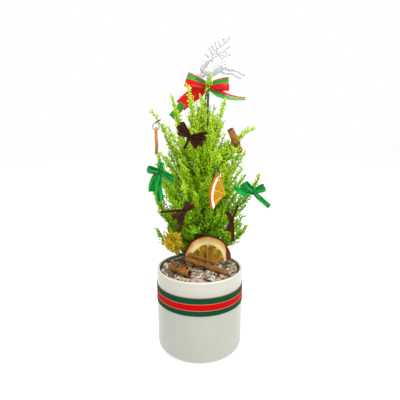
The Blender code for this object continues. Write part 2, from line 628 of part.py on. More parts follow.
def quill(name, start, end, radius):
    """A rolled bark stick: a thick-walled pipe with a seam groove along it."""
    way = (end - start).normalized()
    side = way.orthogonal().normalized()
    up = way.cross(side)
    outline, count = [], QUILL_CORNERS
    for i in range(count):
        angle = math.tau * i / count
        wide = radius * (1 if i % (count // 2) else QUILL_GROOVE)
        outline.append(side * math.cos(angle) * wide + up * math.sin(angle) * wide)
    bm = bmesh.new()
    rings = []
    for place in (start, end):
        for share in (1, QUILL_BORE):
            rings.append([bm.verts.new(place + p * share) for p in outline])
    outer_start, inner_start, outer_end, inner_end = rings
    for i in range(count):
        j = (i + 1) % count
        bm.faces.new((outer_start[i], outer_start[j], outer_end[j], outer_end[i]))
        bm.faces.new((inner_start[j], inner_start[i], inner_end[i], inner_end[j]))
        bm.faces.new((outer_start[j], outer_start[i], inner_start[i], inner_start[j]))
        bm.faces.new((outer_end[i], outer_end[j], inner_end[j], inner_end[i]))
    return mesh_object(name, bm, "cinnamon", 30)


def tie_pair(name, first, first_radius, second, second_radius, normal):
    slack = HOOK_WIRE + GAP
    wire_loop(name, two_circle_loop(first, first_radius + slack, second, second_radius + slack,
                                    normal.normalized(), 24))


def make_cinnamon(waists):
    long_a = mm((-20.5, -10.2, 133.4)), mm((39, -28, 117.8))
    long_b = mm((-15, -8.3, 138.4)), mm((27, -17, 127.6))
    quill("cinnamon_long_front", *long_a, 0.0035)
    quill("cinnamon_long_back", *long_b, 0.0030)
    way = long_a[1] - long_a[0]
    first, second = long_a[0].lerp(long_a[1], 0.47), long_b[0].lerp(long_b[1], 0.532)
    tie_pair("cinnamon_long_tie", first, 0.0036, second, 0.0032, way)
    short_a = mm((-40.2, -17, 122.4)), mm((-12.7, -40, 123.4))
    short_b = mm((-37.0, -6.2, 122.4)), mm((-17.0, -24.5, 123.2))
    quill("cinnamon_short_front", *short_a, 0.0048)
    quill("cinnamon_short_back", *short_b, 0.0040)
    way = short_a[1] - short_a[0]
    first, second = short_a[0].lerp(short_a[1], 0.42), short_b[0].lerp(short_b[1], 0.40)
    tie_pair("cinnamon_short_tie", first, 0.0050, second, 0.0044, way)
    hang_quill(waists["bough_high_right"], Vector((15.5, 7.3, -34)), 0.0325, 0.0046)


def hang_quill(waist, way, length, radius):
    """A stick hung across a stem by two fused eyes, one round the stem and one round the stick."""
    bough, stem, stem_way = waist
    way, name = way.normalized(), "cinnamon_hung"
    out = stem_way.cross(way).normalized()
    if out.y > 0:
        out = -out
    eye = radius + GAP + HOOK_WIRE
    beside = stem + out * (HOOK_EYE + eye)
    start = beside - way * length * HUNG_HEAD
    stick = quill(name, start, start + way * length, radius)
    tie = solid_wire_loop(name + "_tie", two_circle_loop(stem, HOOK_EYE, stem, HOOK_EYE, stem_way, 14))
    second = solid_wire_loop(name + "_eye", two_circle_loop(beside, eye, beside, eye, way, 20))
    boolean(tie, second, "UNION")
    carry(bough, stick, tie)


# ---------------------------------------------------------------- reindeer topper

def deer_bars():
    """The body, legs and antlers, each as its own round bar."""
    for points, radii in DEER_LIMBS:
        yield [(x, 0, z) for x, z in points], [r * MM for r in radii], 3
    for sign, points in zip((-1, 1), DEER_BEAMS):
        apart = [(x, sign * DEER_BEAM_APART * min(1, z / 30 - 0.4), z) for x, z in points]
        yield apart, [DEER_BEAM_RADIUS] * len(points), 2
    for near, far in DEER_TINES:
        yield [(near[0], 0, near[1]), (far[0], 0, far[1])], [DEER_TINE_RADIUS] * 2, 2


def deer_balls():
    """Beads on the antlers' ends, and the places where the neck and chest fill out."""
    ends = [far for _, far in DEER_TINES if far != DEER_TINES[7][0]] + [beam[-1] for beam in DEER_BEAMS]
    for x, z in ends:
        yield (x, 0, z), DEER_BEAD_RADIUS
    for x, z, radius in DEER_JOINTS:
        yield (x, 0, z), radius * MM


def make_reindeer(stake):
    """A leaping reindeer of clear plastic, its socket over the stake's tip."""
    joined = bmesh.new()
    for i, (points, radii, resolution) in enumerate(deer_bars()):
        bar = solid_tube(f"deer_bar_{i}", [mm(p) for p in points], radii, "acrylic", resolution)
        joined.from_mesh(bar.data)
        bpy.data.objects.remove(bar)
    for place, radius in deer_balls():
        bmesh.ops.create_icosphere(joined, subdivisions=2, radius=radius,
                                   matrix=Matrix.Translation(mm(place)))
    bmesh.ops.create_cone(joined, cap_ends=True, segments=16, radius1=SOCKET_RADIUS, radius2=SOCKET_RADIUS,
                          depth=SOCKET_DEPTH, matrix=Matrix.Translation(mm((0, 0, 0.5))))
    mesh = bpy.data.meshes.new("reindeer")
    joined.to_mesh(mesh)
    joined.free()
    deer = add_object("reindeer", mesh, "acrylic")
    deer.location = STAKE_TOP
    remesh = deer.modifiers.new("Fuse", "REMESH")
    remesh.mode = "VOXEL"
    remesh.voxel_size = DEER_VOXEL
    decimate = deer.modifiers.new("Fewer faces", "DECIMATE")
    decimate.ratio = DEER_FACES_KEPT
    bore = [STAKE_TOP - STAKE_AXIS * SOCKET_BORE, STAKE_TOP + STAKE_AXIS * GAP]
    boolean(deer, solid_tube("reindeer_bore", bore, [STAKE_RADIUS + GAP] * 2, "acrylic"), "DIFFERENCE")
    carry(stake, deer)


def main():
    clear_scene()
    make_pot()
    make_band()
    make_filling()
    stake = make_trunk_and_stake()
    waists = {bough[0]: make_bough(*bough) for bough in BOUGHS}
    make_leader()
    make_top_bow()
    make_green_bows(waists)
    make_brown_bows(waists)
    make_slices(waists)
    make_cinnamon(waists)
    make_reindeer(stake)


main()
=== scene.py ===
"""The dressed tabletop tree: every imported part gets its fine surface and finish.

Each shape is a formula of two parameters on a grid, worked out with numpy for the whole grid at once.
Lengths are in metres; tables of places are in millimetres and go through mm().
"""

import json
import math

import bpy
import numpy as np
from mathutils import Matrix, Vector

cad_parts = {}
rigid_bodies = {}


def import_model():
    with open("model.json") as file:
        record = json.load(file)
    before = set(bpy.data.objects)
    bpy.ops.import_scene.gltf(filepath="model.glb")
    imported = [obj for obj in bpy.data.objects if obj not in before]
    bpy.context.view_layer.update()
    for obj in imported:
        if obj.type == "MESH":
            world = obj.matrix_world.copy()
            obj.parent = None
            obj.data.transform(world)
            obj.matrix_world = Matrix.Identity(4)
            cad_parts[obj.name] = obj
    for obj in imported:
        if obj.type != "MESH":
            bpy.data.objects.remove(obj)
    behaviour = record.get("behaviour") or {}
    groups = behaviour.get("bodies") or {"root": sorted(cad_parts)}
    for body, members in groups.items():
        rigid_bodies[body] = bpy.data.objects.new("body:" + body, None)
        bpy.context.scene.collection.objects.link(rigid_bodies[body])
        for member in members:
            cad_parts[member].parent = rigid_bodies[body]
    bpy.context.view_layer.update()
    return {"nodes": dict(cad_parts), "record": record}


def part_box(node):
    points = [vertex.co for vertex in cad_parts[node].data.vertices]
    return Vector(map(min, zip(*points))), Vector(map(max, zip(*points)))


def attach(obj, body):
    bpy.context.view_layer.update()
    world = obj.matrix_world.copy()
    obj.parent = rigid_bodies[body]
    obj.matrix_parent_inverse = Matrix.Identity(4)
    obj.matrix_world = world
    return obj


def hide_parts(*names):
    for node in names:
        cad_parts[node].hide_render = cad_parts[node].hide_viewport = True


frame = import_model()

MM = 0.001
BODIES = frame["record"]["behaviour"]["bodies"]
UP = np.array((0.0, 0.0, 1.0))
ALONG_X = np.array((1.0, 0.0, 0.0))
ALONG_Y = np.array((0.0, 1.0, 0.0))
NEARLY_UP = UP + 0.01  # never quite the way of a stem, so that it can square a frame on it
GOLDEN_TURN = 2.39996  # radians from each shoot to the next one round a stem

POT_RADIUS, POT_HEIGHT = 0.060, 0.1184
POT_WALL, POT_FLOOR, POT_FOOT = 0.004, 0.007, 0.011
STAKE_TOP = np.array((12.1, 0.4, 374.5)) * MM
STAKE_FOOT = np.array((-1.0, 24.0, 45.0)) * MM

# The trunk's centre line and radius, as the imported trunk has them
TRUNK = np.array((
    (-5.5, 17.0, 35, 4.2), (-4.8, 14.5, 110, 4.0), (-2.2, 12.0, 160, 3.5), (0.8, 8.6, 215, 3.0),
    (4.0, 5.0, 270, 2.5), (6.2, 2.4, 320, 1.9), (7.0, 1.4, 345, 1.5)))

# Boughs: height of the root on the trunk, a point the stem passes, its tip, length of the side shoots
BOUGHS = {
    "bough_low_right": (124, (42, 14, 146), (64, -6, 176), 20),
    "bough_low_right_back": (138, (18, 47, 146), (42, 58, 176), 20),
    "bough_low_back": (130, (-6, 46, 146), (2, 66, 176), 20),
    "bough_low_left_back": (134, (-30, 36, 144), (-42, 52, 172), 20),
    "bough_low_left": (124, (-42, 16, 141), (-61, 14, 165), 18),
    "bough_low_front": (170, (-7, -14, 172), (-7, -38, 180), 18),
    "bough_low_front_right": (165, (21, -13, 167), (33, -34, 175), 18),
    "bough_mid_right": (174, (68, -17, 228), (77, -19, 248), 19),
    "bough_mid_right_back": (178, (22, 53, 212), (46, 58, 244), 21),
    "bough_mid_back": (160, (-12, 54, 200), (-4, 70, 240), 21),
    "bough_mid_left_back": (158, (-38, 40, 206), (-51, 50, 242), 21),
    "bough_mid_left": (152, (-46, 10, 190), (-63, 10, 222), 20),
    "bough_mid_left_front": (160, (-48, -23, 256), (-51, -26, 276), 20),
    "bough_mid_front": (182, (-18, -44, 211), (-19, -50, 240), 18),
    "bough_mid_front_right": (192, (38, -33, 196), (46, -40, 226), 18),
    "bough_high_front_right": (186, (20, -49, 264), (21, -57, 284), 18),
    "bough_high_left": (198, (-53, -12, 319), (-60, -15, 331), 13),
    "bough_high_left_back": (206, (-24, 34, 285), (-32, 46, 320), 20),
    "bough_high_right_back": (212, (19, 45, 285), (34, 52, 316), 20),
    "bough_high_right": (200, (45, -9, 292), (70, -4, 309), 18),
    "bough_high_right_front": (234, (12, -27, 292), (16, -36, 322), 16),
    "bough_high_front": (214, (-12, -28, 300), (-19, -35, 318), 16),
    "bough_top_left": (256, (-9, -8, 330), (-15, -9, 361), 15),
    "bough_top_left_outer": (236, (-28, 0, 318), (-36, 0, 349), 15),
    "bough_top_right": (256, (24, -6, 316), (32, -8, 344), 15),
    "bough_top_back": (256, (4, 20, 322), (2, 28, 352), 15),
}
LEADER = ((7.4, 0.6, 346.6), (9.0, -5.2, 355), (10.8, -7.0, 361.5), (12.2, -7.6, 367.5),
          (14.4, -8.8, 374.5))
SPRIG_ROOT, SPRIG_MIDDLE, SPRIG_TIP = 128, (-32, -3, 148), (-35, -33, 168)

# Ornaments that sprigs keep out from in front of
IN_CLEAR_VIEW = (
    "green_bow_left", "green_bow_right", "brown_bow_upper", "brown_bow_middle", "brown_bow_right",
    "orange_slice_front", "orange_slice_left", "cinnamon_hung", "orange_slice_base",
    "cinnamon_long_front", "cinnamon_short_front")


def mm(points):
    return np.asarray(points, float) * MM


def unit(v):
    v = np.asarray(v, float)
    return v / np.maximum(np.linalg.norm(v, axis=-1, keepdims=True), 1e-12)


def body_of(node):
    return next(name for name, nodes in BODIES.items() if node in nodes)


def along(points, count):
    """A smooth line through the points: Catmull-Rom cubics, sampled at even steps of their parameter."""
    points = np.asarray(points, float)
    padded = np.vstack([2 * points[0] - points[1], points, 2 * points[-1] - points[-2]])
    place = np.linspace(0, len(points) - 1, count)
    start = np.minimum(place.astype(int), len(points) - 2)
    t = (place - start)[:, None]
    a, b, c, d = (padded[start + i] for i in range(4))
    return 0.5 * (2 * b + (c - a) * t + (2 * a - 5 * b + 4 * c - d) * t**2 + (3 * b - a - 3 * c + d) * t**3)


def rows_of(values, count):
    """One number per row, blended evenly between the given ones."""
    values = np.asarray(values, float)
    return np.interp(np.linspace(0, len(values) - 1, count), np.arange(len(values)), values)


def frames_along(path, hint):
    """For each row of a line: its direction, and two directions square to it, the first near the hint."""
    ahead = unit(np.gradient(path, axis=0))
    first = unit(hint - ahead * np.sum(hint * ahead, axis=-1, keepdims=True))
    return ahead, first, np.cross(ahead, first)


def angles(count):
    """Even steps of one whole turn."""
    return np.arange(count) / count * math.tau


def box_of(node):
    """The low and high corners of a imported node's box."""
    return (np.array(corner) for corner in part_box(node))


class Making:
    """Gathers closed surfaces for one piece, then makes its mesh.

    A surface is a grid of points (rows, columns, 3), and its columns turn anticlockwise seen against the
    rows' way, so that its faces point outwards. Every face is a four-sided one.
    """

    def __init__(self, name):
        self.name, self.count = name, 0
        self.points, self.faces, self.uvs, self.tones = [], [], [], []

    def add(self, points, faces, uvs, tone):
        points = points.reshape(-1, 3)
        self.points.append(points)
        self.faces.append(faces + self.count)
        self.uvs.append(uvs)
        self.tones.append(np.broadcast_to(np.asarray(tone, float).reshape(-1), len(points)))
        self.count += len(points)

    @staticmethod
    def square_uvs(across, down):
        """The UVs of every square between the given values of U (per column) and V (per row)."""
        a, b = np.meshgrid(across[:-1], down[:-1])
        c, d = np.meshgrid(across[1:], down[1:])
        corners = [np.stack(pair, -1) for pair in ((a, b), (c, b), (c, d), (a, d))]
        return np.stack(corners, -2).reshape(-1, 4, 2)

    def grid(self, points, close="poles", u=(0, 1), v=None, tone=0.5):
        """A surface whose columns close on themselves.

        close says what shuts the first and last rows: poles (a fan to their middle) or folds (each column
        to its mirror column, as the end of a flat strip).
        """
        rows, columns = points.shape[:2]
        number = np.arange(rows * columns).reshape(rows, columns)
        turned = np.roll(number, -1, axis=1)
        faces = [np.stack([number[:-1], turned[:-1], turned[1:], number[1:]], -1).reshape(-1, 4)]
        across = np.linspace(u[0], u[1], columns + 1) if len(u) == 2 else np.asarray(u, float)
        down = np.linspace(0, 1, rows) if v is None else np.asarray(v, float)
        uvs = [self.square_uvs(across, down)]
        flat = points.reshape(-1, 3)
        tone = np.broadcast_to(np.asarray(tone, float), (rows, columns)).reshape(-1)
        if close == "poles":
            flat = np.vstack([flat, points[0].mean(0), points[-1].mean(0)])
            tone = np.append(tone, (tone[0], tone[-1]))
            j = np.arange(0, columns, 2)
            k, m = (j + 1) % columns, (j + 2) % columns
            first_pole = rows * columns
            for row, pole, order in ((0, first_pole, (m, k, j)), (rows - 1, first_pole + 1, (j, k, m))):
                faces.append(np.stack([np.full(len(j), pole)] + [number[row][i] for i in order], -1))
                uvs.append(np.zeros((len(j), 4, 2)) + (u[0], down[row]))
        else:
            j = np.arange(columns // 2 - 1)
            for row, flip in ((0, True), (rows - 1, False)):
                line = number[row]
                mirror = np.stack([line[j], line[j + 1], line[columns - 2 - j], line[columns - 1 - j]], -1)
                faces.append(mirror[:, ::-1] if flip else mirror)
                edge = np.stack([across[j], across[j + 1], across[j + 1], across[j]], -1)
                uvs.append(np.stack([edge, np.full_like(edge, down[row])], -1))
        self.add(flat, np.vstack(faces), np.vstack(uvs), tone)

    def sector(self, points, u, v):
        """A surface whose columns don't close: each side edge is folded shut, row to mirror row."""
        rows, columns = points.shape[:2]
        number = np.arange(rows * columns).reshape(rows, columns)
        squares = np.stack([number[:-1, :-1], number[:-1, 1:], number[1:, 1:], number[1:, :-1]], -1)
        faces = [squares.reshape(-1, 4)]
        across, down = np.linspace(u[0], u[1], columns), np.asarray(v, float)
        uvs = [self.square_uvs(across, down)]
        i = np.arange(rows // 2)
        for column, flip in ((0, False), (columns - 1, True)):
            line = number[:, column]
            edge = np.stack([line[i], line[i + 1], line[rows - 2 - i], line[rows - 1 - i]], -1)
            edge = edge[edge[:, 1] != edge[:, 2]]
            kept = i[:len(edge)]
            faces.append(edge[:, ::-1] if flip else edge)
            level = np.stack([down[kept], down[kept + 1], down[kept + 1], down[kept]], -1)
            uvs.append(np.stack([np.full_like(level, across[column]), level], -1))
        j = np.arange(columns - 1)
        faces.append(np.stack([number[0, j + 1], number[0, j], number[-1, j], number[-1, j + 1]], -1))
        uvs.append(np.zeros((len(j), 4, 2)))
        self.add(points, np.vstack(faces), np.vstack(uvs), 0.5)

    def rods(self, centres, radii, tone):
        """Many small four-sided rods at once: centres (rods, rows, 3), radii and tone (rods, rows)."""
        many, rows = centres.shape[:2]
        sides = 4
        ahead = unit(np.gradient(centres, axis=1))
        hint = np.where(np.abs(ahead[..., 2:]) > 0.8, (1.0, 0.0, 0.0), (0.0, 0.0, 1.0))
        first = unit(np.cross(hint, ahead))
        second = np.cross(ahead, first)
        angle = angles(sides)
        out = first[:, :, None] * np.cos(angle)[:, None] + second[:, :, None] * np.sin(angle)[:, None]
        points = centres[:, :, None] + out * radii[:, :, None, None]
        number = np.arange(rows * sides).reshape(rows, sides)
        turned = np.roll(number, -1, axis=1)
        walls = np.stack([number[:-1], turned[:-1], turned[1:], number[1:]], -1).reshape(-1, 4)
        one = np.vstack([walls, number[:1, ::-1], number[-1:]])
        faces = (one[None] + (np.arange(many) * rows * sides)[:, None, None]).reshape(-1, 4)
        tones = np.repeat(tone.reshape(many, rows, 1), sides, axis=2)
        self.add(points, faces, np.zeros((len(faces), 4, 2)), tones)

    def done(self, look, body, instead_of=None, smooth=True):
        """The finished piece: it rides on the body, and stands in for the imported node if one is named."""
        points, faces = np.vstack(self.points), np.vstack(self.faces)
        mesh = bpy.data.meshes.new(self.name)
        mesh.vertices.add(len(points))
        mesh.vertices.foreach_set("co", points.ravel())
        mesh.loops.add(faces.size)
        mesh.loops.foreach_set("vertex_index", faces.ravel().astype(np.int32))
        mesh.polygons.add(len(faces))
        mesh.polygons.foreach_set("loop_start", np.arange(len(faces), dtype=np.int32) * 4)
        mesh.polygons.foreach_set("use_smooth", np.full(len(faces), smooth))
        mesh.update(calc_edges=True)
        layer = mesh.uv_layers.new(name="UVMap")
        layer.data.foreach_set("uv", np.vstack(self.uvs).ravel())
        mesh.attributes.new("tone", "FLOAT", "POINT").data.foreach_set("value", np.concatenate(self.tones))
        mesh.materials.append(look)
        obj = link(self.name, mesh)
        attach(obj, body)
        if instead_of:
            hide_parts(instead_of)
        return obj


def tube_grid(path, radii, hint, sides=16, wobble=None):
    """A round tube along a path: point = path + radius (cos a first + sin a second)."""
    _, first, second = frames_along(path, hint)
    angle = angles(sides)
    radii = np.broadcast_to(np.asarray(radii, float).reshape(-1, 1), (len(path), sides))
    if wobble is not None:
        radii = radii * (1 + wobble)
    out = first[:, None] * np.cos(angle)[:, None] + second[:, None] * np.sin(angle)[:, None]
    return path[:, None] + out * radii[..., None]


# ---------------------------------------------------------------- finishes

def srgb(red, green, blue):
    """A colour given as on a screen, 0 to 255, in linear light."""
    c = np.array((red, green, blue)) / 255
    return (*np.where(c <= 0.04045, c / 12.92, ((c + 0.055) / 1.055) ** 2.4), 1.0)


class Wiring:
    """Adds nodes to one tree and joins them as they are made."""

    def __init__(self, tree):
        self.tree = tree

    def node(self, kind, inputs=None, **settings):
        made = self.tree.nodes.new(kind)
        for key, value in settings.items():
            setattr(made, key, value)
        for key, value in (inputs or {}).items():
            self.feed(made.inputs[key], value)
        return made

    def feed(self, socket, value):
        if isinstance(value, bpy.types.NodeSocket):
            self.tree.links.new(value, socket)
        else:
            socket.default_value = value

    def calc(self, operation, *values, clamp=False):
        settings = {"operation": operation, "use_clamp": clamp}
        return self.node("ShaderNodeMath", dict(enumerate(values)), **settings).outputs[0]

    def times(self, *values, clamp=False):
        return self.calc("MULTIPLY", *values, clamp=clamp)

    def plus(self, *values):
        return self.calc("ADD", *values)

    def minus(self, *values):
        return self.calc("SUBTRACT", *values)

    def noise(self, vector, scale, detail=3.0, roughness=0.55):
        inputs = {"Vector": vector, "Scale": scale, "Detail": detail, "Roughness": roughness}
        return self.node("ShaderNodeTexNoise", inputs).outputs["Fac"]

    def between(self, value, low, high, to_low=0.0, to_high=1.0, smooth=False):
        kind = "SMOOTHSTEP" if smooth else "LINEAR"
        inputs = {"Value": value, 1: low, 2: high, 3: to_low, 4: to_high}
        made = self.node("ShaderNodeMapRange", inputs, interpolation_type=kind, clamp=True)
        return made.outputs["Result"]

    def mix(self, factor, first, second, blend="MIX"):
        made = self.node("ShaderNodeMix", data_type="RGBA", blend_type=blend)
        for index, value in ((0, factor), (6, first), (7, second)):
            self.feed(made.inputs[index], value)
        return made.outputs[2]

    def ramp(self, factor, *stops):
        made = self.node("ShaderNodeValToRGB", {"Fac": factor})
        elements = made.color_ramp.elements
        while len(elements) < len(stops):
            elements.new(0.5)
        for element, (place, colour) in zip(elements, stops):
            element.position = place
            element.color = colour
        return made.outputs["Color"]

    def bump(self, height, distance, strength=1.0):
        inputs = {"Height": height, "Distance": distance, "Strength": strength}
        return self.node("ShaderNodeBump", inputs).outputs["Normal"]

    def group(self, tree, inputs):
        made = self.node("ShaderNodeGroup", node_tree=tree)
        for key, value in inputs.items():
            self.feed(made.inputs[key], value)
        return made.outputs

    def cloud(self, scale):
        """The shared mottle, laid over the piece in its own coordinates."""
        return self.group(MOTTLE, {"Vector": self.objects(), "Scale": scale})["Amount"]

    def objects(self):
        return self.node("ShaderNodeTexCoord").outputs["Object"]

    def uv(self):
        return self.node("ShaderNodeUVMap", uv_map="UVMap").outputs["UV"]

    def tone(self):
        return self.node("ShaderNodeAttribute", attribute_name="tone").outputs["Fac"]

    def parts(self, vector):
        """The X, Y and Z of a vector."""
        return self.node("ShaderNodeSeparateXYZ", {0: vector}).outputs

    def cells(self, vector, scale):
        """The distance to the nearest point of a scatter of cells."""
        return self.node("ShaderNodeTexVoronoi", {"Vector": vector, "Scale": scale}).outputs["Distance"]

    def scaled(self, vector, factors):
        return self.node("ShaderNodeMapping", {"Vector": vector, "Scale": factors}).outputs["Vector"]


def finish(name, build, **constants):
    """A material: build(wiring) gives the sockets that vary, and constants go on the shader itself."""
    made = bpy.data.materials.new(name)
    made.use_nodes = True
    shader = made.node_tree.nodes["Principled BSDF"]
    for key, value in constants.items():
        shader.inputs[key.replace("_", " ")].default_value = value
    wiring = Wiring(made.node_tree)
    for key, value in build(wiring).items():
        wiring.feed(shader.inputs[key], value)
    return made


def new_group(name, inputs, outputs):
    tree = bpy.data.node_groups.new(name, "ShaderNodeTree")
    for label, kind in inputs:
        tree.interface.new_socket(label, in_out="INPUT", socket_type=kind)
    for label, kind in outputs:
        tree.interface.new_socket(label, in_out="OUTPUT", socket_type=kind)
    return tree, tree.nodes.new("NodeGroupInput").outputs, tree.nodes.new("NodeGroupOutput").inputs


def mottle_group():
    """Soft uneven colour: broad clouds with finer ones inside them, 0 to 1."""
    tree, given, out = new_group("mottle", (("Vector", "NodeSocketVector"), ("Scale", "NodeSocketFloat")),
                                 (("Amount", "NodeSocketFloat"),))
    w = Wiring(tree)
    broad = w.noise(given["Vector"], given["Scale"], 4.0)
    fine = w.noise(given["Vector"], w.times(given["Scale"], 5.0), 2.0)
    both = w.plus(w.times(broad, 0.65), w.times(fine, 0.35))
    w.feed(out["Amount"], w.between(both, 0.32, 0.68))
    return tree


def fibre_group():
    """Streaks, broad and fine, 0 to 1: clouds in a space that the caller has squeezed along them."""
    tree, given, out = new_group("fibres", (("Vector", "NodeSocketVector"), ("Scale", "NodeSocketFloat")),
                                 (("Amount", "NodeSocketFloat"),))
    w = Wiring(tree)
    streak = w.noise(given["Vector"], given["Scale"], 5.0, 0.65)
    fine = w.noise(given["Vector"], w.times(given["Scale"], 3.2), 2.0)
    w.feed(out["Amount"], w.between(w.calc("MULTIPLY_ADD", streak, 0.7, w.times(fine, 0.3)), 0.3, 0.7))
    return tree


def weave_group():
    """Woven ribs across a ribbon: rounded weft ribs, crossed by finer warp threads."""
    inputs = (("Vector", "NodeSocketVector"), ("Ribs", "NodeSocketFloat"), ("Threads", "NodeSocketFloat"))
    tree, given, out = new_group("weave", inputs, (("Height", "NodeSocketFloat"),))
    w = Wiring(tree)
    parts = w.parts(given["Vector"])
    rib = w.calc("ABSOLUTE", w.calc("SINE", w.times(parts["Y"], given["Ribs"])))
    thread = w.calc("ABSOLUTE", w.calc("SINE", w.times(parts["X"], given["Threads"])))
    w.feed(out["Height"], w.calc("MULTIPLY_ADD", thread, 0.35, w.times(rib, 0.65)))
    return tree


def citrus_group():
    """A cut orange face. U is the share of a turn, V the share of the radius.

    Segment walls lie at tenths of a turn and keep their width in real millimetres. Each segment's outer end
    is rounded, and pith and rind follow outside it.
    """
    inputs = (("UV", "NodeSocketVector"), ("Radius", "NodeSocketFloat"), ("Flesh", "NodeSocketFloat"),
              ("Wall", "NodeSocketFloat"), ("Rind", "NodeSocketFloat"))
    names = ("Flesh", "Rind", "Juice")
    tree, given, out = new_group("citrus face", inputs, [(n, "NodeSocketFloat") for n in names])
    w = Wiring(tree)
    parts = w.parts(given["UV"])
    turn, reach = parts["X"], parts["Y"]
    wander = w.times(w.minus(w.noise(given["UV"], 3.0, 1.0), 0.5), 0.35)
    tenth = w.calc("FRACT", w.calc("MULTIPLY_ADD", turn, 10.0, wander))
    inward = w.minus(0.5, w.calc("ABSOLUTE", w.minus(tenth, 0.5)))
    from_wall = w.times(w.times(inward, 0.628), w.times(reach, given["Radius"]))
    inside_walls = w.between(from_wall, w.times(given["Wall"], 0.5), given["Wall"], smooth=True)
    rounding = w.times(w.calc("POWER", w.minus(1.0, w.times(inward, 2.0)), 5.0), 0.1)
    edge = w.minus(given["Flesh"], rounding)
    inside_pith = w.between(w.minus(edge, reach), -0.015, 0.02, smooth=True)
    core = w.between(reach, 0.03, 0.08, smooth=True)
    w.feed(out["Flesh"], w.times(w.times(inside_walls, inside_pith), core))
    w.feed(out["Rind"], w.between(w.minus(reach, given["Rind"]), -0.008, 0.012, smooth=True))
    long_cells = w.scaled(given["UV"], (60.0, 9.0, 1.0))
    w.feed(out["Juice"], w.between(w.cells(long_cells, 1.0), 0.0, 0.7))
    return tree


MOTTLE, FIBRES, WEAVE, CITRUS = mottle_group(), fibre_group(), weave_group(), citrus_group()


def glaze_look(w):
    """Pale grey-white glaze, faintly clouded, with painted light that makes the upper wall and the lip paler,
    and painted shade that makes the inside wall dark.
    """
    place = w.objects()
    cloud = w.cloud(28.0)
    speck = w.between(w.noise(place, 900.0, 1.0), 0.70, 0.74)
    colour = w.mix(cloud, srgb(176, 178, 165), srgb(184, 186, 174))
    colour = w.mix(w.times(speck, 0.25), colour, srgb(160, 156, 138))
    parts = w.parts(place)
    # painted light: the upper wall is painted paler, as light from above falls on it
    upper = w.between(parts["Z"], 0.085, POT_HEIGHT - 0.006, 0.0, 0.45, smooth=True)
    # painted highlight: the lip is painted paler where light catches its rounded top
    lip = w.between(parts["Z"], POT_HEIGHT - 0.0022, POT_HEIGHT - 0.0006, smooth=True)
    colour = w.mix(w.calc("MAXIMUM", upper, lip), colour, srgb(222, 218, 202))
    # painted shade: the inside wall is painted dark, as shade falls inside the pot
    flat = w.calc("SQRT", w.calc("MULTIPLY_ADD", parts["X"], parts["X"], w.times(parts["Y"], parts["Y"])))
    inside = w.between(flat, POT_RADIUS - POT_WALL + 0.0006, POT_RADIUS - POT_WALL + 0.0001)
    colour = w.mix(inside, colour, srgb(112, 118, 100))
    return {"Base Color": colour, "Roughness": w.between(cloud, 0, 1, 0.30, 0.42),
            "Normal": w.bump(w.noise(place, 260.0, 2.0), 0.00008)}


def band_look(w):
    """Green, red and green woven stripes, parted and edged by a fine gold thread."""
    uv = w.uv()
    parts = w.parts(uv)
    across = w.calc("ABSOLUTE", w.minus(parts["X"], 0.5))
    weave = w.group(WEAVE, {"Vector": uv, "Ribs": 4200.0, "Threads": 150.0})["Height"]
    green, red, gold, edge = srgb(14, 74, 48), srgb(200, 6, 10), srgb(206, 136, 96), srgb(128, 60, 40)
    stripes = w.ramp(w.times(across, 2.0), (0, red), (0.32, gold), (0.375, green), (0.95, edge))
    stripes.node.color_ramp.interpolation = "CONSTANT"
    shade = w.between(weave, 0, 1, 0.78, 1.06)
    shade = w.node("ShaderNodeCombineXYZ", {0: shade, 1: shade, 2: shade}).outputs[0]
    return {"Base Color": w.mix(1.0, stripes, shade, "MULTIPLY"),
            "Roughness": w.between(weave, 0, 1, 0.75, 0.5),
            "Normal": w.bump(weave, 0.00012)}


def foam_look(w):
    place = w.objects()
    pores = w.cells(place, 700.0)
    # painted shade: the pores, dented by the bump, are painted darker than the foam round them
    return {"Base Color": w.ramp(pores, (0.1, srgb(30, 50, 24)), (0.6, srgb(74, 104, 52))),
            "Normal": w.bump(pores, 0.0006)}


def gap_shade_look(w):
    """The floor between the stones, painted dark as the shade in the gaps between them."""
    place = w.objects()
    grains = w.cells(place, 330.0)
    cloud = w.cloud(60.0)
    colour = w.mix(cloud, srgb(30, 34, 30), srgb(64, 52, 38))
    return {"Base Color": w.mix(w.between(grains, 0.1, 0.6), colour, srgb(20, 26, 26)),
            "Normal": w.bump(grains, 0.0012)}


def stone_look(w):
    """Crushed stone: each stone its own shade, white, rose, sand or grey, with darker grains."""
    each = w.ramp(w.tone(), (0.0, srgb(44, 60, 54)), (0.14, srgb(112, 88, 58)), (0.28, srgb(170, 134, 100)),
                  (0.46, srgb(224, 206, 182)), (0.66, srgb(255, 252, 246)), (0.84, srgb(196, 150, 122)),
                  (1.0, srgb(150, 154, 146)))
    grain = w.cloud(420.0)
    colour = w.mix(w.between(grain, 0, 1, 0.0, 0.40), each, srgb(84, 62, 42))
    return {"Base Color": colour, "Roughness": w.between(grain, 0, 1, 0.9, 0.6),
            "Normal": w.bump(grain, 0.0003)}


def bark_look(w):
    place = w.objects()
    fibre = w.group(FIBRES, {"Vector": w.scaled(place, (1, 1, 0.12)), "Scale": 900.0})["Amount"]
    colour = w.ramp(fibre, (0.1, srgb(52, 40, 26)), (0.6, srgb(104, 84, 52)), (0.9, srgb(128, 112, 70)))
    return {"Base Color": colour, "Normal": w.bump(fibre, 0.0006)}


def stake_look(w):
    cloud = w.cloud(220.0)
    return {"Base Color": w.mix(cloud, srgb(38, 62, 34), srgb(58, 86, 46)), "Normal": w.bump(cloud, 0.0002)}


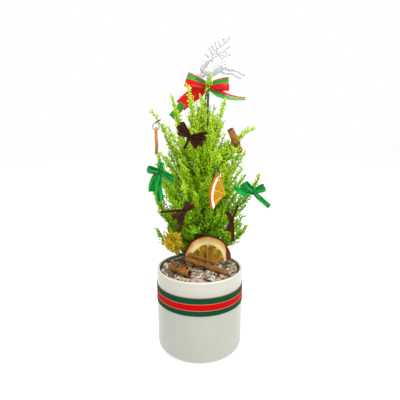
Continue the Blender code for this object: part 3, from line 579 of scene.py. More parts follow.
def leaf_look(w):
    """Moulded scale leaves: brown stems, deep green inside, bright lime towards the tips; low tones also
    carry painted shade low down and deep in the tree.
    """
    place = w.objects()
    cloud = w.cloud(170.0)
    tone = w.plus(w.tone(), w.between(cloud, 0, 1, -0.09, 0.09))
    colour = w.ramp(tone, (0.0, srgb(96, 82, 40)), (0.08, srgb(66, 104, 6)), (0.28, srgb(104, 160, 4)),
                    (0.50, srgb(142, 200, 6)), (0.74, srgb(172, 214, 20)), (1.0, srgb(204, 232, 76)))
    scales = w.cells(place, 1100.0)
    return {"Base Color": colour, "Roughness": w.between(scales, 0, 0.7, 0.42, 0.62),
            "Normal": w.bump(scales, 0.0003)}


def yellow_leaf_look(w):
    """Dyed moss sprigs, mustard yellow with orange and green touches."""
    cloud = w.cloud(110.0)
    colour = w.ramp(w.tone(), (0.0, srgb(110, 96, 26)), (0.3, srgb(158, 144, 22)), (0.65, srgb(204, 176, 26)),
                    (1.0, srgb(228, 206, 64)))
    colour = w.mix(w.between(cloud, 0.62, 0.9, 0, 0.7), colour, srgb(206, 122, 26))
    colour = w.mix(w.between(cloud, 0.36, 0.1, 0, 0.6), colour, srgb(128, 158, 32))
    fuzz = w.noise(w.objects(), 1500.0, 2.0)
    return {"Base Color": colour, "Normal": w.bump(fuzz, 0.0003)}


def top_ribbon_look(w):
    """Taffeta ribbon: the front has a narrow red, a green and a broad red stripe, and the back is red."""
    uv = w.uv()
    parts = w.parts(uv)
    weave = w.group(WEAVE, {"Vector": uv, "Ribs": 2600.0, "Threads": 260.0})["Height"]
    red, deep, green = srgb(226, 16, 12), srgb(178, 6, 8), srgb(16, 160, 56)
    front = w.ramp(parts["X"], (0, red), (0.26, green), (0.455, red))
    front.node.color_ramp.interpolation = "CONSTANT"
    cloud = w.cloud(90.0)
    colour = w.mix(w.between(cloud, 0, 1, 0.0, 0.22), front, deep)
    return {"Base Color": colour, "Roughness": w.between(weave, 0, 1, 0.5, 0.34),
            "Normal": w.bump(weave, 0.00005)}


def satin_look(dark, bright):
    """Satin ribbon: fine threads, soft folds along it in painted highlight and painted shade, and painted
    shade at its pinches; dark and bright are its shaded and lit colours.
    """
    def build(w):
        uv = w.uv()
        weave = w.group(WEAVE, {"Vector": uv, "Ribs": 2400.0, "Threads": 330.0})["Height"]
        # painted highlight and shade: soft folds along the ribbon mix the shaded and lit colours, darker
        # where it is pinched
        fold = w.noise(w.scaled(uv, (6.0, 45.0, 1.0)), 1.0, 2.0)
        open_part = w.between(w.tone(), 0.0, 0.5, 0.25, 1.0)
        light = w.times(w.between(fold, 0.34, 0.62, smooth=True), open_part)
        return {"Base Color": w.mix(light, dark, bright), "Roughness": w.between(weave, 0, 1, 0.42, 0.28),
                "Normal": w.bump(w.plus(weave, w.times(fold, 12.0)), 0.00008)}
    return build


def citrus_look(radius_mm, flesh_share, rind_share, wrinkle, walls, pith, rind, flesh, peel=0.0):
    """A cut orange: juice sacs in walled segments, pith that browns outwards, and thin oily rind.

    walls is one colour; pith is its inner and outer colours, and rind and flesh are dark and bright ones.
    peel is how far, as a share of the radius, the rind folds into view over one side.
    """
    def build(w):
        uv = w.uv()
        parts = w.parts(uv)
        folded = w.between(parts["X"], 0.13, 0.22, rind_share, rind_share - peel, smooth=True)
        face = w.group(CITRUS, {"UV": uv, "Radius": radius_mm, "Flesh": flesh_share, "Wall": 0.55,
                                "Rind": folded if peel else rind_share})
        cloud = w.cloud(130.0)
        sacs = w.mix(w.times(face["Juice"], w.between(cloud, 0, 1, 0.5, 1.3), clamp=True), flesh[1], flesh[0])
        browning = w.plus(w.between(parts["Y"], flesh_share + 0.04, rind_share),
                          w.between(cloud, 0, 1, -0.3, 0.2))
        pale = w.mix(w.between(browning, 0.1, 1.0), pith[0], pith[1])
        pale = w.mix(w.between(parts["Y"], flesh_share - 0.06, flesh_share + 0.01), walls, pale)
        colour = w.mix(face["Rind"], w.mix(face["Flesh"], pale, sacs), w.mix(cloud, rind[0], rind[1]))
        pores = w.noise(w.objects(), 1300.0, 2.0)
        height = w.plus(w.times(w.times(face["Juice"], face["Flesh"]), -0.5),
                       w.plus(w.times(pores, 0.25), w.times(cloud, wrinkle)))
        return {"Base Color": colour, "Roughness": w.between(face["Flesh"], 0, 1, 0.7, 0.38),
                "Normal": w.bump(height, 0.0006)}
    return build


def cinnamon_look(w):
    """Rolled bark: lengthwise fibres from dark to tan, with painted shade on the inner face of the scroll."""
    uv = w.uv()
    fibre = w.group(FIBRES, {"Vector": w.scaled(uv, (1.0, 0.035, 1.0)), "Scale": 60.0})["Amount"]
    cloud = w.cloud(160.0)
    colour = w.ramp(w.calc("MULTIPLY_ADD", cloud, 0.4, w.times(fibre, 0.6)),
                    (0.08, srgb(84, 44, 10)), (0.4, srgb(140, 88, 38)), (0.7, srgb(176, 122, 60)),
                    (0.95, srgb(204, 156, 92)))
    # painted shade: the inner face of the scroll, tone above 0.55, is painted dark, as shade falls inside the
    # roll
    colour = w.mix(w.between(w.tone(), 0.55, 1.0), colour, srgb(58, 28, 10))
    return {"Base Color": colour, "Roughness": w.between(fibre, 0, 1, 0.85, 0.6),
            "Normal": w.bump(fibre, 0.0005)}


def wire_look(w):
    cloud = w.cloud(500.0)
    return {"Base Color": w.mix(cloud, srgb(34, 40, 24), srgb(58, 62, 36)),
            "Roughness": w.between(cloud, 0, 1, 0.3, 0.5)}


def acrylic_look(w):
    """Clear moulded acrylic with faint flow marks, painted dark grey where its surface turns edge-on to the
    view.
    """
    flow = w.noise(w.scaled(w.objects(), (1, 1, 0.6)), 160.0, 3.0)
    # painted shade: the colour turns dark grey where the surface turns edge-on to the view, for the dark
    # edges of clear acrylic
    rim = w.calc("POWER", w.node("ShaderNodeLayerWeight", {"Blend": 0.5}).outputs["Facing"], 2.0)
    return {"Base Color": w.mix(rim, (0.96, 0.97, 0.98, 1), (0.14, 0.155, 0.16, 1)),
            "Roughness": w.between(flow, 0.3, 0.7, 0.04, 0.14), "Normal": w.bump(flow, 0.0003)}


GLAZE = finish("pale glaze", glaze_look, Coat_Weight=0.25)
BAND = finish("striped band", band_look, Specular_IOR_Level=0.04)
FOAM = finish("flower foam", foam_look, Roughness=0.95)
GAP_SHADE = finish("painted gap shade", gap_shade_look, Roughness=0.9)
STONE = finish("crushed stone", stone_look)
BARK = finish("stem bark", bark_look, Roughness=0.85)
STAKE = finish("coated stake", stake_look, Roughness=0.45)
LEAF = finish("lime leaf", leaf_look, Specular_IOR_Level=0.2)
YELLOW_LEAF = finish("yellow moss", yellow_leaf_look, Roughness=0.7, Specular_IOR_Level=0.1)
TOP_RIBBON = finish("red and green taffeta", top_ribbon_look, Specular_IOR_Level=0.25)
# each satin is given its colour in painted shade, then in painted highlight
GREEN_SATIN = finish("green satin", satin_look(srgb(0, 66, 20), srgb(0, 176, 58)), Specular_IOR_Level=0.25)
BROWN_SATIN = finish("brown satin", satin_look(srgb(22, 8, 3), srgb(88, 42, 20)), Specular_IOR_Level=0.12)
FRESH_ORANGE = finish("fresh orange", citrus_look(
    radius_mm=30.0, flesh_share=0.845, rind_share=0.962, wrinkle=0.3, walls=srgb(244, 200, 70),
    pith=(srgb(255, 250, 238), srgb(252, 236, 208)), rind=(srgb(176, 84, 10), srgb(214, 122, 24)),
    flesh=(srgb(178, 116, 0), srgb(212, 160, 0))), Specular_IOR_Level=0.15)
DRIED_ORANGE = finish("dried orange", citrus_look(
    radius_mm=33.0, flesh_share=0.70, rind_share=0.945, wrinkle=1.6, walls=srgb(238, 200, 100),
    pith=(srgb(254, 234, 166), srgb(222, 138, 50)), rind=(srgb(64, 22, 4), srgb(128, 54, 18)),
    flesh=(srgb(136, 100, 2), srgb(226, 168, 10)), peel=0.15), Specular_IOR_Level=0.25)
SMALL_ORANGE = finish("small dried orange", citrus_look(
    radius_mm=17.5, flesh_share=0.74, rind_share=0.93, wrinkle=1.2, walls=srgb(226, 170, 90),
    pith=(srgb(240, 196, 118), srgb(214, 130, 60)), rind=(srgb(132, 80, 40), srgb(212, 146, 84)),
    flesh=(srgb(150, 84, 12), srgb(214, 142, 40))), Specular_IOR_Level=0.15)
CINNAMON = finish("cinnamon bark", cinnamon_look, Specular_IOR_Level=0.2)
WIRE = finish("florist wire", wire_look, Metallic=0.15)
ACRYLIC = finish("clear acrylic", acrylic_look, Transmission_Weight=0.7, IOR=1.46, Metallic=0.0)


# ---------------------------------------------------------------- pot and filling

def turned(profile, columns=192):
    """A profile of (radius, height) rows turned about the upright axis."""
    profile = np.asarray(profile, float)
    angle = angles(columns)
    radius, height = profile[:, :1], profile[:, 1:]
    level = np.broadcast_to(height, (len(profile), columns))
    return np.stack([radius * np.cos(angle), radius * np.sin(angle), level], -1)


def round_corner(centre, radius, start, end, steps=10):
    angle = np.radians(np.linspace(start, end, steps))
    return np.stack([centre[0] + radius * np.cos(angle), centre[1] + radius * np.sin(angle)], -1)


def upright_wall(radius, start, end, steps):
    return np.stack([np.full(steps, radius), np.linspace(start, end, steps)], -1)


def make_pot():
    """A turned profile: underside, rounded foot, outer wall, rounded lip, inner wall and floor."""
    lip, inner_corner, inner = 0.0019, 0.005, POT_RADIUS - POT_WALL
    hub, half_way, wall_start = 0.004, 0.030, 0.02
    rows = [np.array([(hub, 0.0), (half_way, 0.0)]),
            round_corner((POT_RADIUS - POT_FOOT, POT_FOOT), POT_FOOT, -90, 0, 16),
            upright_wall(POT_RADIUS, wall_start, POT_HEIGHT - 0.006, 12),
            round_corner((POT_RADIUS - lip, POT_HEIGHT - lip), lip, 0, 90, 8),
            round_corner((inner + lip, POT_HEIGHT - lip), lip, 90, 180, 8),
            upright_wall(inner, POT_HEIGHT - 0.008, wall_start, 8),
            round_corner((inner - inner_corner, POT_FLOOR + inner_corner), inner_corner, 0, -90, 8),
            np.array([(half_way, POT_FLOOR), (hub, POT_FLOOR)])]
    made = Making("glazed_pot")
    made.grid(turned(np.vstack(rows)))
    made.done(GLAZE, "tree", "pot")


def make_band():
    """A woven ribbon round the pot, with rolled selvedges and its end lapped over at the back."""
    low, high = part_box("pot_ribbon_band")
    bottom, top = low[2], high[2]
    gap, waviness, thickness, lap_height = 0.0003, 0.00012, 0.00045, 0.00055
    selvedge, selvedge_inset, selvedge_height = 0.02, 0.02, 0.00014
    across = np.linspace(0, 1, 24)
    height = bottom + (top - bottom) * across
    edges = (selvedge_inset, 1 - selvedge_inset)
    roll = selvedge_height * sum(np.exp(-((across - edge) / selvedge) ** 2) for edge in edges)
    length, columns = math.tau * POT_RADIUS, 240
    turn = np.linspace(math.pi / 2 - 0.03, math.pi / 2 + math.tau + 0.06, columns)
    lap = np.interp(turn, (turn[-1] - 0.14, turn[-1] - 0.09), (0, lap_height))[:, None]
    back = POT_RADIUS + gap + waviness * np.sin(turn * 5)[:, None] * np.sin(across * math.pi) + lap
    front = back + thickness + roll
    radius = np.concatenate([back[:, ::-1], front], axis=1)
    level = np.broadcast_to(np.concatenate([height[::-1], height]), radius.shape)
    points = np.stack([radius * np.cos(turn)[:, None], radius * np.sin(turn)[:, None], level], -1)
    made = Making("striped_pot_ribbon")
    made.grid(points[:, ::-1], close="folds", u=(0, 2), v=np.linspace(0, length, columns))
    band = made.done(BAND, "tree", "pot_ribbon_band")


def gravel_height(radius):
    """The gravel is a low dome: 112 mm up at the pot's wall and 119 mm in the middle."""
    return 0.112 + 0.007 * np.cos(math.pi / 2 * np.minimum(1, radius / POT_RADIUS))


def cube_ball():
    """Points and faces of a ball made from a cube with four squares on each side: 26 points, 24 faces."""
    line = np.array((-1.0, 0.0, 1.0))
    points, faces = [], []
    for axis in range(3):
        for sign in (-1, 1):
            a, b = np.meshgrid(line, line, indexing="ij")
            side = np.zeros((3, 3, 3))
            side[..., axis], side[..., (axis + 1) % 3], side[..., (axis + 2) % 3] = sign, a, b
            n = np.arange(9).reshape(3, 3) + len(points) * 9
            quad = np.stack([n[:-1, :-1], n[1:, :-1], n[1:, 1:], n[:-1, 1:]], -1).reshape(-1, 4)
            faces.append(quad if sign > 0 else quad[:, ::-1])
            points.append(side.reshape(9, 3))
    points = np.vstack(points)
    kept, index = np.unique(points, axis=0, return_inverse=True)
    return unit(kept), index.reshape(-1)[np.vstack(faces)]


def make_stones(rng):
    """Crushed stones on the gravel's dome: balls pushed in and out at their corners, turned every way.

    Their places are a sunflower spiral, so that they lie evenly, each moved a little at random.
    """
    count, reach, room_for_trunk = 900, 0.0545, 0.006
    order = np.arange(count)
    radius = reach * np.sqrt((order + 0.5) / count)
    angle = order * math.pi * (3 - math.sqrt(5))
    spot = np.stack([radius * np.cos(angle), radius * np.sin(angle)], -1)
    spot += rng.normal(0, 0.0006, (count, 2))
    radius = np.linalg.norm(spot, axis=1)
    kept = (np.linalg.norm(spot - mm(TRUNK[1, :2]), axis=1) > room_for_trunk) & (radius < reach)
    spot, radius = spot[kept], radius[kept]
    ball, faces = cube_ball()
    many = len(spot)
    size = rng.uniform(0.0014, 0.0037, many) * (1 - 0.25 * (radius > 0.052))
    shape = ball[None] * (1 + rng.normal(0, 0.17, (many, len(ball), 1)))
    shape = shape * rng.uniform(0.65, 1.15, (many, 1, 3))
    turn, _ = np.linalg.qr(rng.normal(size=(many, 3, 3)))
    turn *= np.sign(np.linalg.det(turn))[:, None, None]
    shape = np.einsum("nij,nkj->nki", turn, shape) * size[:, None, None]
    height = gravel_height(radius) + size * rng.uniform(-0.25, 0.35, many)
    points = shape + np.column_stack([spot, height])[:, None]
    made = Making("gravel_stones")
    every = (faces[None] + (np.arange(many) * len(ball))[:, None, None]).reshape(-1, 4)
    made.add(points, every, np.zeros((len(every), 4, 2)), np.repeat(rng.uniform(0, 1, many), len(ball)))
    made.done(STONE, "tree", smooth=False)


# ---------------------------------------------------------------- trunk, stake and foliage

def trunk_at(height_mm):
    place = np.array([np.interp(height_mm, TRUNK[:, 2], TRUNK[:, i]) for i in range(4)])
    return place[:3] * MM, place[3] * MM


def make_trunk(rng):
    """The trunk's own line and radius, with five ridges that wind up it and small knots."""
    rows, sides = 90, 20
    path = along(TRUNK[:, :3] * MM, rows)
    radii = rows_of(TRUNK[:, 3], rows) * MM
    ridges = 0.05 * np.sin(angles(sides) * 5 + np.linspace(0, 7, rows)[:, None])
    knots = rng.normal(0, 0.03, (rows, sides))
    made = Making("bark_trunk")
    made.grid(tube_grid(path, radii, ALONG_X, sides, ridges + knots), tone=0.3)
    made.done(BARK, "tree", "trunk")


def make_stake():
    """A straight coated rod, with a slight swelling at even steps and a pointed foot."""
    rod, swelling, step = 0.00145, 0.00012, 0.012
    point, point_slope = 0.0004, 0.35
    way = unit(STAKE_TOP - STAKE_FOOT)
    run = np.linspace(0, 1, 160) * np.linalg.norm(STAKE_TOP - STAKE_FOOT)
    path = STAKE_FOOT + way * run[:, None]
    radii = np.minimum(rod + swelling * np.cos(run / step * math.tau) ** 8, point + run * point_slope)
    made = Making("coated_stake")
    made.grid(tube_grid(path, radii, ALONG_X, 14))
    made.done(STAKE, "stake", "topper_stake")


def clear_zones():
    """Where foliage may not stand, a row for each zone: from and to in X, from and to in Z, and the Y that
    it lies in front of. Most zones are an ornament's own box with a little to spare.
    """
    spare = 0.001
    zones = []
    for node in IN_CLEAR_VIEW:
        low, high = box_of(node)
        zones.append((low[0] - spare, high[0] + spare, low[2] - spare, high[2] + spare, high[1] + spare))
    zones[IN_CLEAR_VIEW.index("cinnamon_hung")] = (0.034, 0.0495, 0.296, 0.313, -0.008)
    # The half slice's round top takes three boxes, from narrow and high to wide and low
    zones[IN_CLEAR_VIEW.index("orange_slice_base")] = (-0.008, 0.030, 0.116, 0.164, 0.004)
    zones.append((-0.019, 0.038, 0.116, 0.152, 0.004))
    zones.append((-0.023, 0.045, 0.116, 0.141, 0.004))
    # The part of the stake that shows below the top bow
    zones.append((STAKE_TOP[0] - 0.0018, STAKE_TOP[0] + 0.0008, 0.312, 0.350, 0.003))
    return np.array(zones)


CLEAR = clear_zones()
SIGHT_SLOPE = 0.30  # the front view looks down: what stands forward of an ornament hides it from higher up


def hides_ornament(points):
    """True where a point lies in front of an ornament as seen from the front."""
    x, y, z = (points[..., i][..., None] for i in range(3))
    left, right, bottom, top, behind = CLEAR.T
    rise = (behind - y) * SIGHT_SLOPE
    inside = (x > left) & (x < right) & (z > bottom + rise) & (z < top + rise)
    return np.any(inside & (y < behind), axis=-1)


def plume(made, rng, base, way, length, leaf, shade, lift=0.25, spacing=0.0021, plump=0.00062):
    """Feathery shoots: each is a bent line with sprigs on alternate sides, and each sprig has two stubs.

    A shoot's point at share s is base + length (way s + lift up s s). Its sprigs stand at about 42 degrees,
    shorter towards the tip; shade is the tone at each shoot's foot, and tones rise towards every tip.
    """
    shoots, rows = len(base), 6
    sprig_angles, sprig_roll, smallest_with_stubs = (32, 52), 0.55, 0.003
    side = unit(np.cross(way, rng.normal(size=(shoots, 3))))
    stray = unit(rng.normal(size=(shoots, 3))) * 0.10

    def at(share):
        share = share[..., None]
        sway = (UP * lift + stray[:, None]) * share**2
        return base[:, None] + length[:, None, None] * (way[:, None] * share + sway)

    centres = at(np.broadcast_to(np.linspace(0, 1, rows), (shoots, rows)))
    radii = np.broadcast_to(np.linspace(1.0, 0.45, rows) * plump, (shoots, rows))
    open_view = ~hides_ornament(centres).any(axis=1)
    tone = shade[:, None] * 0.7 + np.linspace(0.12, 0.40, rows)
    if open_view.any():
        made.rods(centres[open_view], radii[open_view], tone[open_view])

    many = int(np.max(length) / spacing)
    place = (np.arange(many) + 0.5) * spacing
    share = place[None] / length[:, None]
    share = np.minimum(share + rng.uniform(-0.3, 0.3, share.shape) * spacing / length[:, None], 1)
    used = (place[None] < length[:, None] * 0.99) & open_view[:, None]
    foot = at(share)
    ahead = unit(at(np.minimum(share + 0.02, 1.02)) - at(share - 0.02))
    flat = side[:, None] * np.where(np.arange(many) % 2, 1.0, -1.0)[None, :, None]
    third = np.cross(ahead, np.broadcast_to(side[:, None], ahead.shape))
    roll = rng.normal(0, sprig_roll, share.shape)[..., None]
    out = unit(flat * np.cos(roll) + third * np.sin(roll))
    angle = np.radians(rng.uniform(*sprig_angles, share.shape))[..., None]
    sprig_way = unit(ahead * np.cos(angle) + out * np.sin(angle) + UP * 0.12)
    taper = (1 - 0.58 * share**1.5) * np.minimum(1, 0.55 + 2.2 * share)
    sprig_length = leaf * taper * rng.uniform(0.75, 1.2, share.shape)
    sprig_tone = shade[:, None] + 0.30 * share + rng.normal(0, 0.05, share.shape)

    def place_sprigs(foot, way, length, tone, mask, thick):
        """Sprigs of three rows: narrow foot, full middle and thin tip, which bends up and is palest."""
        foot, way, length, tone = foot[mask], way[mask], length[mask], tone[mask]
        rows = np.array((0.0, 0.55, 1.0))
        bend = UP * 0.12 * (rows**2)[:, None]
        centres = foot[:, None] + length[:, None, None] * (way[:, None] * rows[:, None] + bend)
        kept = ~hides_ornament(centres[:, 2])
        radii = np.broadcast_to(np.array((0.62, 1.0, 0.42)) * thick, (len(foot), 3))
        tones = tone[:, None] + np.array((-0.05, 0.07, 0.24))
        if kept.any():
            made.rods(centres[kept], radii[kept], tones[kept])

    place_sprigs(foot, sprig_way, sprig_length, sprig_tone, used, plump * 1.15)
    for share_of_sprig, turn in ((0.38, 1.0), (0.66, -1.0)):
        stub_foot = foot + sprig_way * (sprig_length * share_of_sprig)[..., None]
        square = unit(np.cross(sprig_way, third))
        stub_way = unit(sprig_way * 0.72 + square * 0.62 * turn + UP * 0.15)
        stub_length = sprig_length * 0.48 * rng.uniform(0.8, 1.2, share.shape)
        long_enough = used & (sprig_length > smallest_with_stubs)
        place_sprigs(stub_foot, stub_way, stub_length, sprig_tone + 0.06, long_enough, plump)


LEAF_LENGTH = 0.0052  # the longest sprig on a shoot


def painted_light_by_height(height):
    """Painted light and shade by height: foliage is deep green near the pot, in shade, and lime at the top,
    where light from above falls.
    """
    return np.interp(height, (0.14, 0.20, 0.25, 0.33), (0.13, 0.26, 0.46, 0.64))


def shoots_along(made, rng, stem, longest, leaf, start=0.2, spacing=0.0046, shade=0.0):
    """Side shoots up a stem: each is a golden angle on from the last, and they close in towards its tip."""
    ahead, first, second = frames_along(stem, UP + np.array((0.3, 0.2, 0)))
    length = np.sum(np.linalg.norm(np.diff(stem, axis=0), axis=1))
    count = max(4, int(length * (1 - start) / spacing * 2))
    share = start + (1 - start) * (np.arange(count) + 0.5) / count
    place = share * (len(stem) - 1)
    low = np.minimum(place.astype(int), len(stem) - 2)
    part = (place - low)[:, None]
    base = stem[low] * (1 - part) + stem[low + 1] * part
    turn = np.arange(count) * GOLDEN_TURN + rng.uniform(-0.4, 0.4, count)
    out = first[low] * np.cos(turn)[:, None] + second[low] * np.sin(turn)[:, None]
    lean = np.radians(np.interp(share, (start, 1), (50, 16)) + rng.uniform(-8, 8, count))[:, None]
    way = unit(ahead[low] * np.cos(lean) + out * np.sin(lean) + UP * 0.15)
    taper = np.interp(share, (start, 0.45, 0.8, 1), (0.7, 1, 0.6, 0.2))
    lengths = longest * taper * rng.uniform(0.7, 1.15, count)
    shades = painted_light_by_height(base[:, 2]) + shade + 0.20 * (share - 0.5) + rng.normal(0, 0.09, count)
    plume(made, rng, base, way, lengths, leaf, shades, lift=0.32)


def quadratic(start, control, end, rows):
    """The curve start (1-t)^2 + control 2 t (1-t) + end t^2, at even steps of t from 0 to 1."""
    t = np.linspace(0, 1, rows)[:, None]
    return start * (1 - t) ** 2 + control * 2 * t * (1 - t) + end * t**2


def bend_of(root_height, middle, tip):
    """The bough's stem: a quadratic curve from the trunk through the middle point to the tip."""
    centre, radius = trunk_at(root_height)
    middle, tip = mm(middle), mm(tip)
    outward = unit((middle - centre) * (1, 1, 0))
    root = centre + outward * (radius + 0.0015)
    first_part, second_part = np.linalg.norm(middle - root), np.linalg.norm(tip - middle)
    share = first_part / (first_part + second_part)
    control = (middle - root * (1 - share) ** 2 - tip * share**2) / (2 * share * (1 - share))
    return quadratic(root, control, tip, 40)


# Side twigs of a bough: the row of its stem that the foot stands on, then the tip and the longest shoot, in
# millimetres
TWIGS = {"bough_high_right": ((22, (52, -22, 286), 12), (20, (46, -24, 281), 12),
                              (18, (41, -23, 284), 12), (21, (57, -20, 276), 13))}


def make_boughs():
    for index, (name, (height, middle, tip, shoot)) in enumerate(BOUGHS.items()):
        rng = np.random.default_rng(100 + index)
        stem = bend_of(height, middle, tip)
        made = Making("spray_" + name)
        radii = np.linspace(0.00105, 0.0005, len(stem))
        made.grid(tube_grid(stem, radii, NEARLY_UP, 8), tone=0.2)
        shoots_along(made, rng, stem, shoot * MM, LEAF_LENGTH)
        for place, twig_tip, longest in TWIGS.get(name, ()):
            spray(made, rng, stem[place], mm(twig_tip), longest * MM)
        made.done(LEAF, body_of(name), name)


def make_leader():
    rng = np.random.default_rng(7)
    stem = along(mm(LEADER), 30)
    made = Making("spray_leader")
    made.grid(tube_grid(stem, np.linspace(0.0012, 0.0006, 30), ALONG_X, 8), tone=0.05)
    shoots_along(made, rng, stem, 0.0085, 0.0036, start=0.0, spacing=0.0034)
    made.done(LEAF, "tree", "leader_shoot")


# How wide the tree stands at each height, in metres: the inner sprays' tips stay within it
ENVELOPE = np.array((
    (0.135, 0.034), (0.15, 0.044), (0.17, 0.050), (0.21, 0.056), (0.25, 0.053), (0.28, 0.047),
    (0.31, 0.036), (0.335, 0.024), (0.36, 0.014), (0.375, 0.006)))

# Sprays that shape the tree's outline: height of the foot on the trunk, tip, longest shoot, in millimetres
OUTLINE = (
    (212, (54, -8, 279), 13), (205, (57, 5, 269), 15), (196, (56, -5, 256), 16),
    (190, (62, 0, 247), 16), (250, (27, -5, 313), 12), (250, (-41, -5, 311), 11),
    (235, (-43, 0, 294), 13), (215, (-44, -8, 272), 15), (222, (-41, 8, 276), 14),
    (215, (-52, -10, 279), 10), (202, (-56, -12, 263), 10), (150, (-60, 2, 212), 15),
    (142, (-57, 6, 198), 15), (165, (65, 5, 222), 15), (152, (64, 10, 203), 16),
    (145, (60, 0, 190), 15), (135, (58, 2, 177), 14), (130, (56, 10, 163), 13), (124, (46, 0, 151), 12),
    (130, (-45, 2, 172), 14), (180, (48, -10, 236), 17), (168, (45, -15, 218), 17),
    (160, (50, -18, 197), 15), (150, (38, -22, 186), 14), (175, (-38, -14, 232), 16),
    (165, (-33, -22, 214), 15), (158, (-42, -8, 200), 16), (150, (-28, -26, 188), 13),
    (236, (30, -12, 282), 13), (228, (38, -2, 292), 13), (222, (-30, -14, 286), 13),
    (262, (14, 4, 338), 10), (200, (34, -20, 255), 16), (205, (-20, -26, 262), 15),
    (190, (4, -34, 240), 16), (180, (-6, -36, 222), 15), (255, (-6, -12, 318), 11),
    (262, (-1, -7, 336), 10), (258, (-14, -5, 326), 10), (150, (10, -28, 184), 12),
    (266, (2, -9, 350), 9), (270, (-4, -6, 342), 9), (262, (6, -12, 336), 9), (220, (45, 0, 284), 13),
    (226, (40, 6, 277), 13), (205, (50, 6, 261), 14), (208, (44, -10, 265), 14),
    (214, (35, -20, 270), 13), (128, (50, 2, 170), 14), (126, (44, 6, 163), 13),
    (128, (36, 6, 169), 13), (134, (55, 4, 180), 14), (138, (48, -4, 188), 14), (128, (40, 8, 158), 12),
    (132, (30, 10, 176), 13), (196, (40, -16, 246), 15), (230, (22, -18, 300), 11),
    (236, (33, 0, 302), 11), (240, (20, -6, 326), 10))


def spray(made, rng, foot, tip, longest, shade=0.0, spacing=0.0052):
    """A stem that leaves its foot upwards and outwards and then turns up to its tip, with its shoots."""
    control = foot * 0.42 + tip * 0.58 - UP * 0.22 * (tip[2] - foot[2])
    stem = quadratic(foot, control, tip, 30)
    if hides_ornament(stem[2:]).any():
        return
    made.grid(tube_grid(stem, np.linspace(0.0009, 0.0004, 30), NEARLY_UP, 6), tone=0.24)
    shoots_along(made, rng, stem, longest, LEAF_LENGTH, spacing=spacing, shade=shade)


def make_fixed_sprays():
    """Sprays straight off the trunk, which fill the tree between its boughs and shape its outline."""
    bands = ((150, 205, 30), (205, 238, 17), (238, 270, 16), (270, 348, 18))  # tips from, to, and how many
    lowest_foot = 118
    for index, (low, high, count) in enumerate(bands):
        rng = np.random.default_rng(40 + index)
        made = Making(f"inner_spray_{index}")
        for k in range(count):
            height = (low + (high - low) * (k + 0.5) / count) * MM
            turn = (k + 0.37 * index) * GOLDEN_TURN
            foot_height = max(lowest_foot, height / MM - rng.uniform(42, 80))
            reach = np.interp(height, ENVELOPE[:, 0], ENVELOPE[:, 1]) * math.sqrt(rng.uniform(0.15, 0.95))
            axis, _ = trunk_at(height / MM)
            tip = axis + np.array((math.cos(turn), math.sin(turn), 0)) * reach
            longest = (0.018 if height < 0.3 else 0.011) * rng.uniform(0.8, 1.1)
            # painted shade: sprays that reach less than 30 mm out are painted darker, as shade falls inside
            # the tree
            spray(made, rng, trunk_at(foot_height)[0], tip, longest, shade=-0.10 * (reach < 0.03))
        if index == len(bands) - 1:
            stem = along(TRUNK[3:, :3] * MM, 40)
            shoots_along(made, rng, stem, 0.0105, 0.0046, start=0.3, spacing=0.0042)
        made.done(LEAF, "tree")
    rng = np.random.default_rng(44)
    for index in range(3):
        made = Making(f"outline_spray_{index}")
        for foot_height, tip, longest in OUTLINE[index::3]:
            spray(made, rng, trunk_at(foot_height)[0], mm(tip), longest * MM)
        made.done(LEAF, "tree")


def make_yellow_sprig():
    """A tuft of dyed moss on a short stem: curled sprigs that stand out from its end every way."""
    rng = np.random.default_rng(77)
    stem = bend_of(SPRIG_ROOT, SPRIG_MIDDLE, SPRIG_TIP)
    made = Making("yellow_moss_sprig")
    made.grid(tube_grid(stem, np.linspace(0.0011, 0.0007, len(stem)), NEARLY_UP, 8), tone=0.0)
    count = 190
    spread = unit(rng.normal(size=(count, 3)) * (1, 0.8, 1))
    core = stem[rng.integers(18, 40, count)]
    length = rng.uniform(0.007, 0.0125, count)
    plume(made, rng, core + spread * 0.002, spread, length, 0.0042, rng.uniform(0.2, 0.6, count), lift=0.1,
          spacing=0.0015, plump=0.0006)
    made.done(YELLOW_LEAF, "tree", "yellow_sprig")


# ---------------------------------------------------------------- ribbons

def strip(made, path, across, widths, thickness, creases, phase, front=(0, 0.5), back=(1, 0.5)):
    """A ribbon: at each row its front is path + across w v + crown, with v from -1/2 to 1/2.

    The crown is a soft fold that is deepest where the ribbon is pinched narrow. front and back say how U runs
    over each side as v rises; V is the length in metres.
    """
    ply = 14  # points across the ribbon
    ahead = unit(np.gradient(path, axis=0))
    across = unit(across - ahead * np.sum(across * ahead, -1, keepdims=True))
    face = np.cross(ahead, across)
    v = np.linspace(-0.5, 0.5, ply)
    run = np.concatenate([[0], np.cumsum(np.linalg.norm(np.diff(path, axis=0), axis=1))])
    pinch = 1 - widths / widths.max()
    ripple = np.cos(v[None] * math.tau * 1.5 + phase) * (0.25 + 1.6 * pinch[:, None]) * creases
    ripple += np.sin(run[:, None] / 0.011 + v[None] * 2.4 + phase) * creases * 0.35
    middle = path[:, None] + across[:, None] * (widths[:, None] * v[None])[..., None]
    middle = middle + face[:, None] * ripple[..., None]
    down = np.gradient(middle, axis=0)
    over = np.gradient(middle, axis=1)
    normal = unit(np.cross(down, over))
    half = normal * thickness / 2
    points = np.concatenate([middle - half, (middle + half)[:, ::-1]], axis=1)
    u = np.concatenate([np.linspace(*back, ply), np.linspace(*front[::-1], ply), [front[0]]])
    # the tone falls where the ribbon is pinched; the satin finishes use it for painted shade there
    made.grid(points, close="folds", u=u, v=run, tone=np.clip(1 - pinch, 0, 1)[:, None])
    return run[-1]


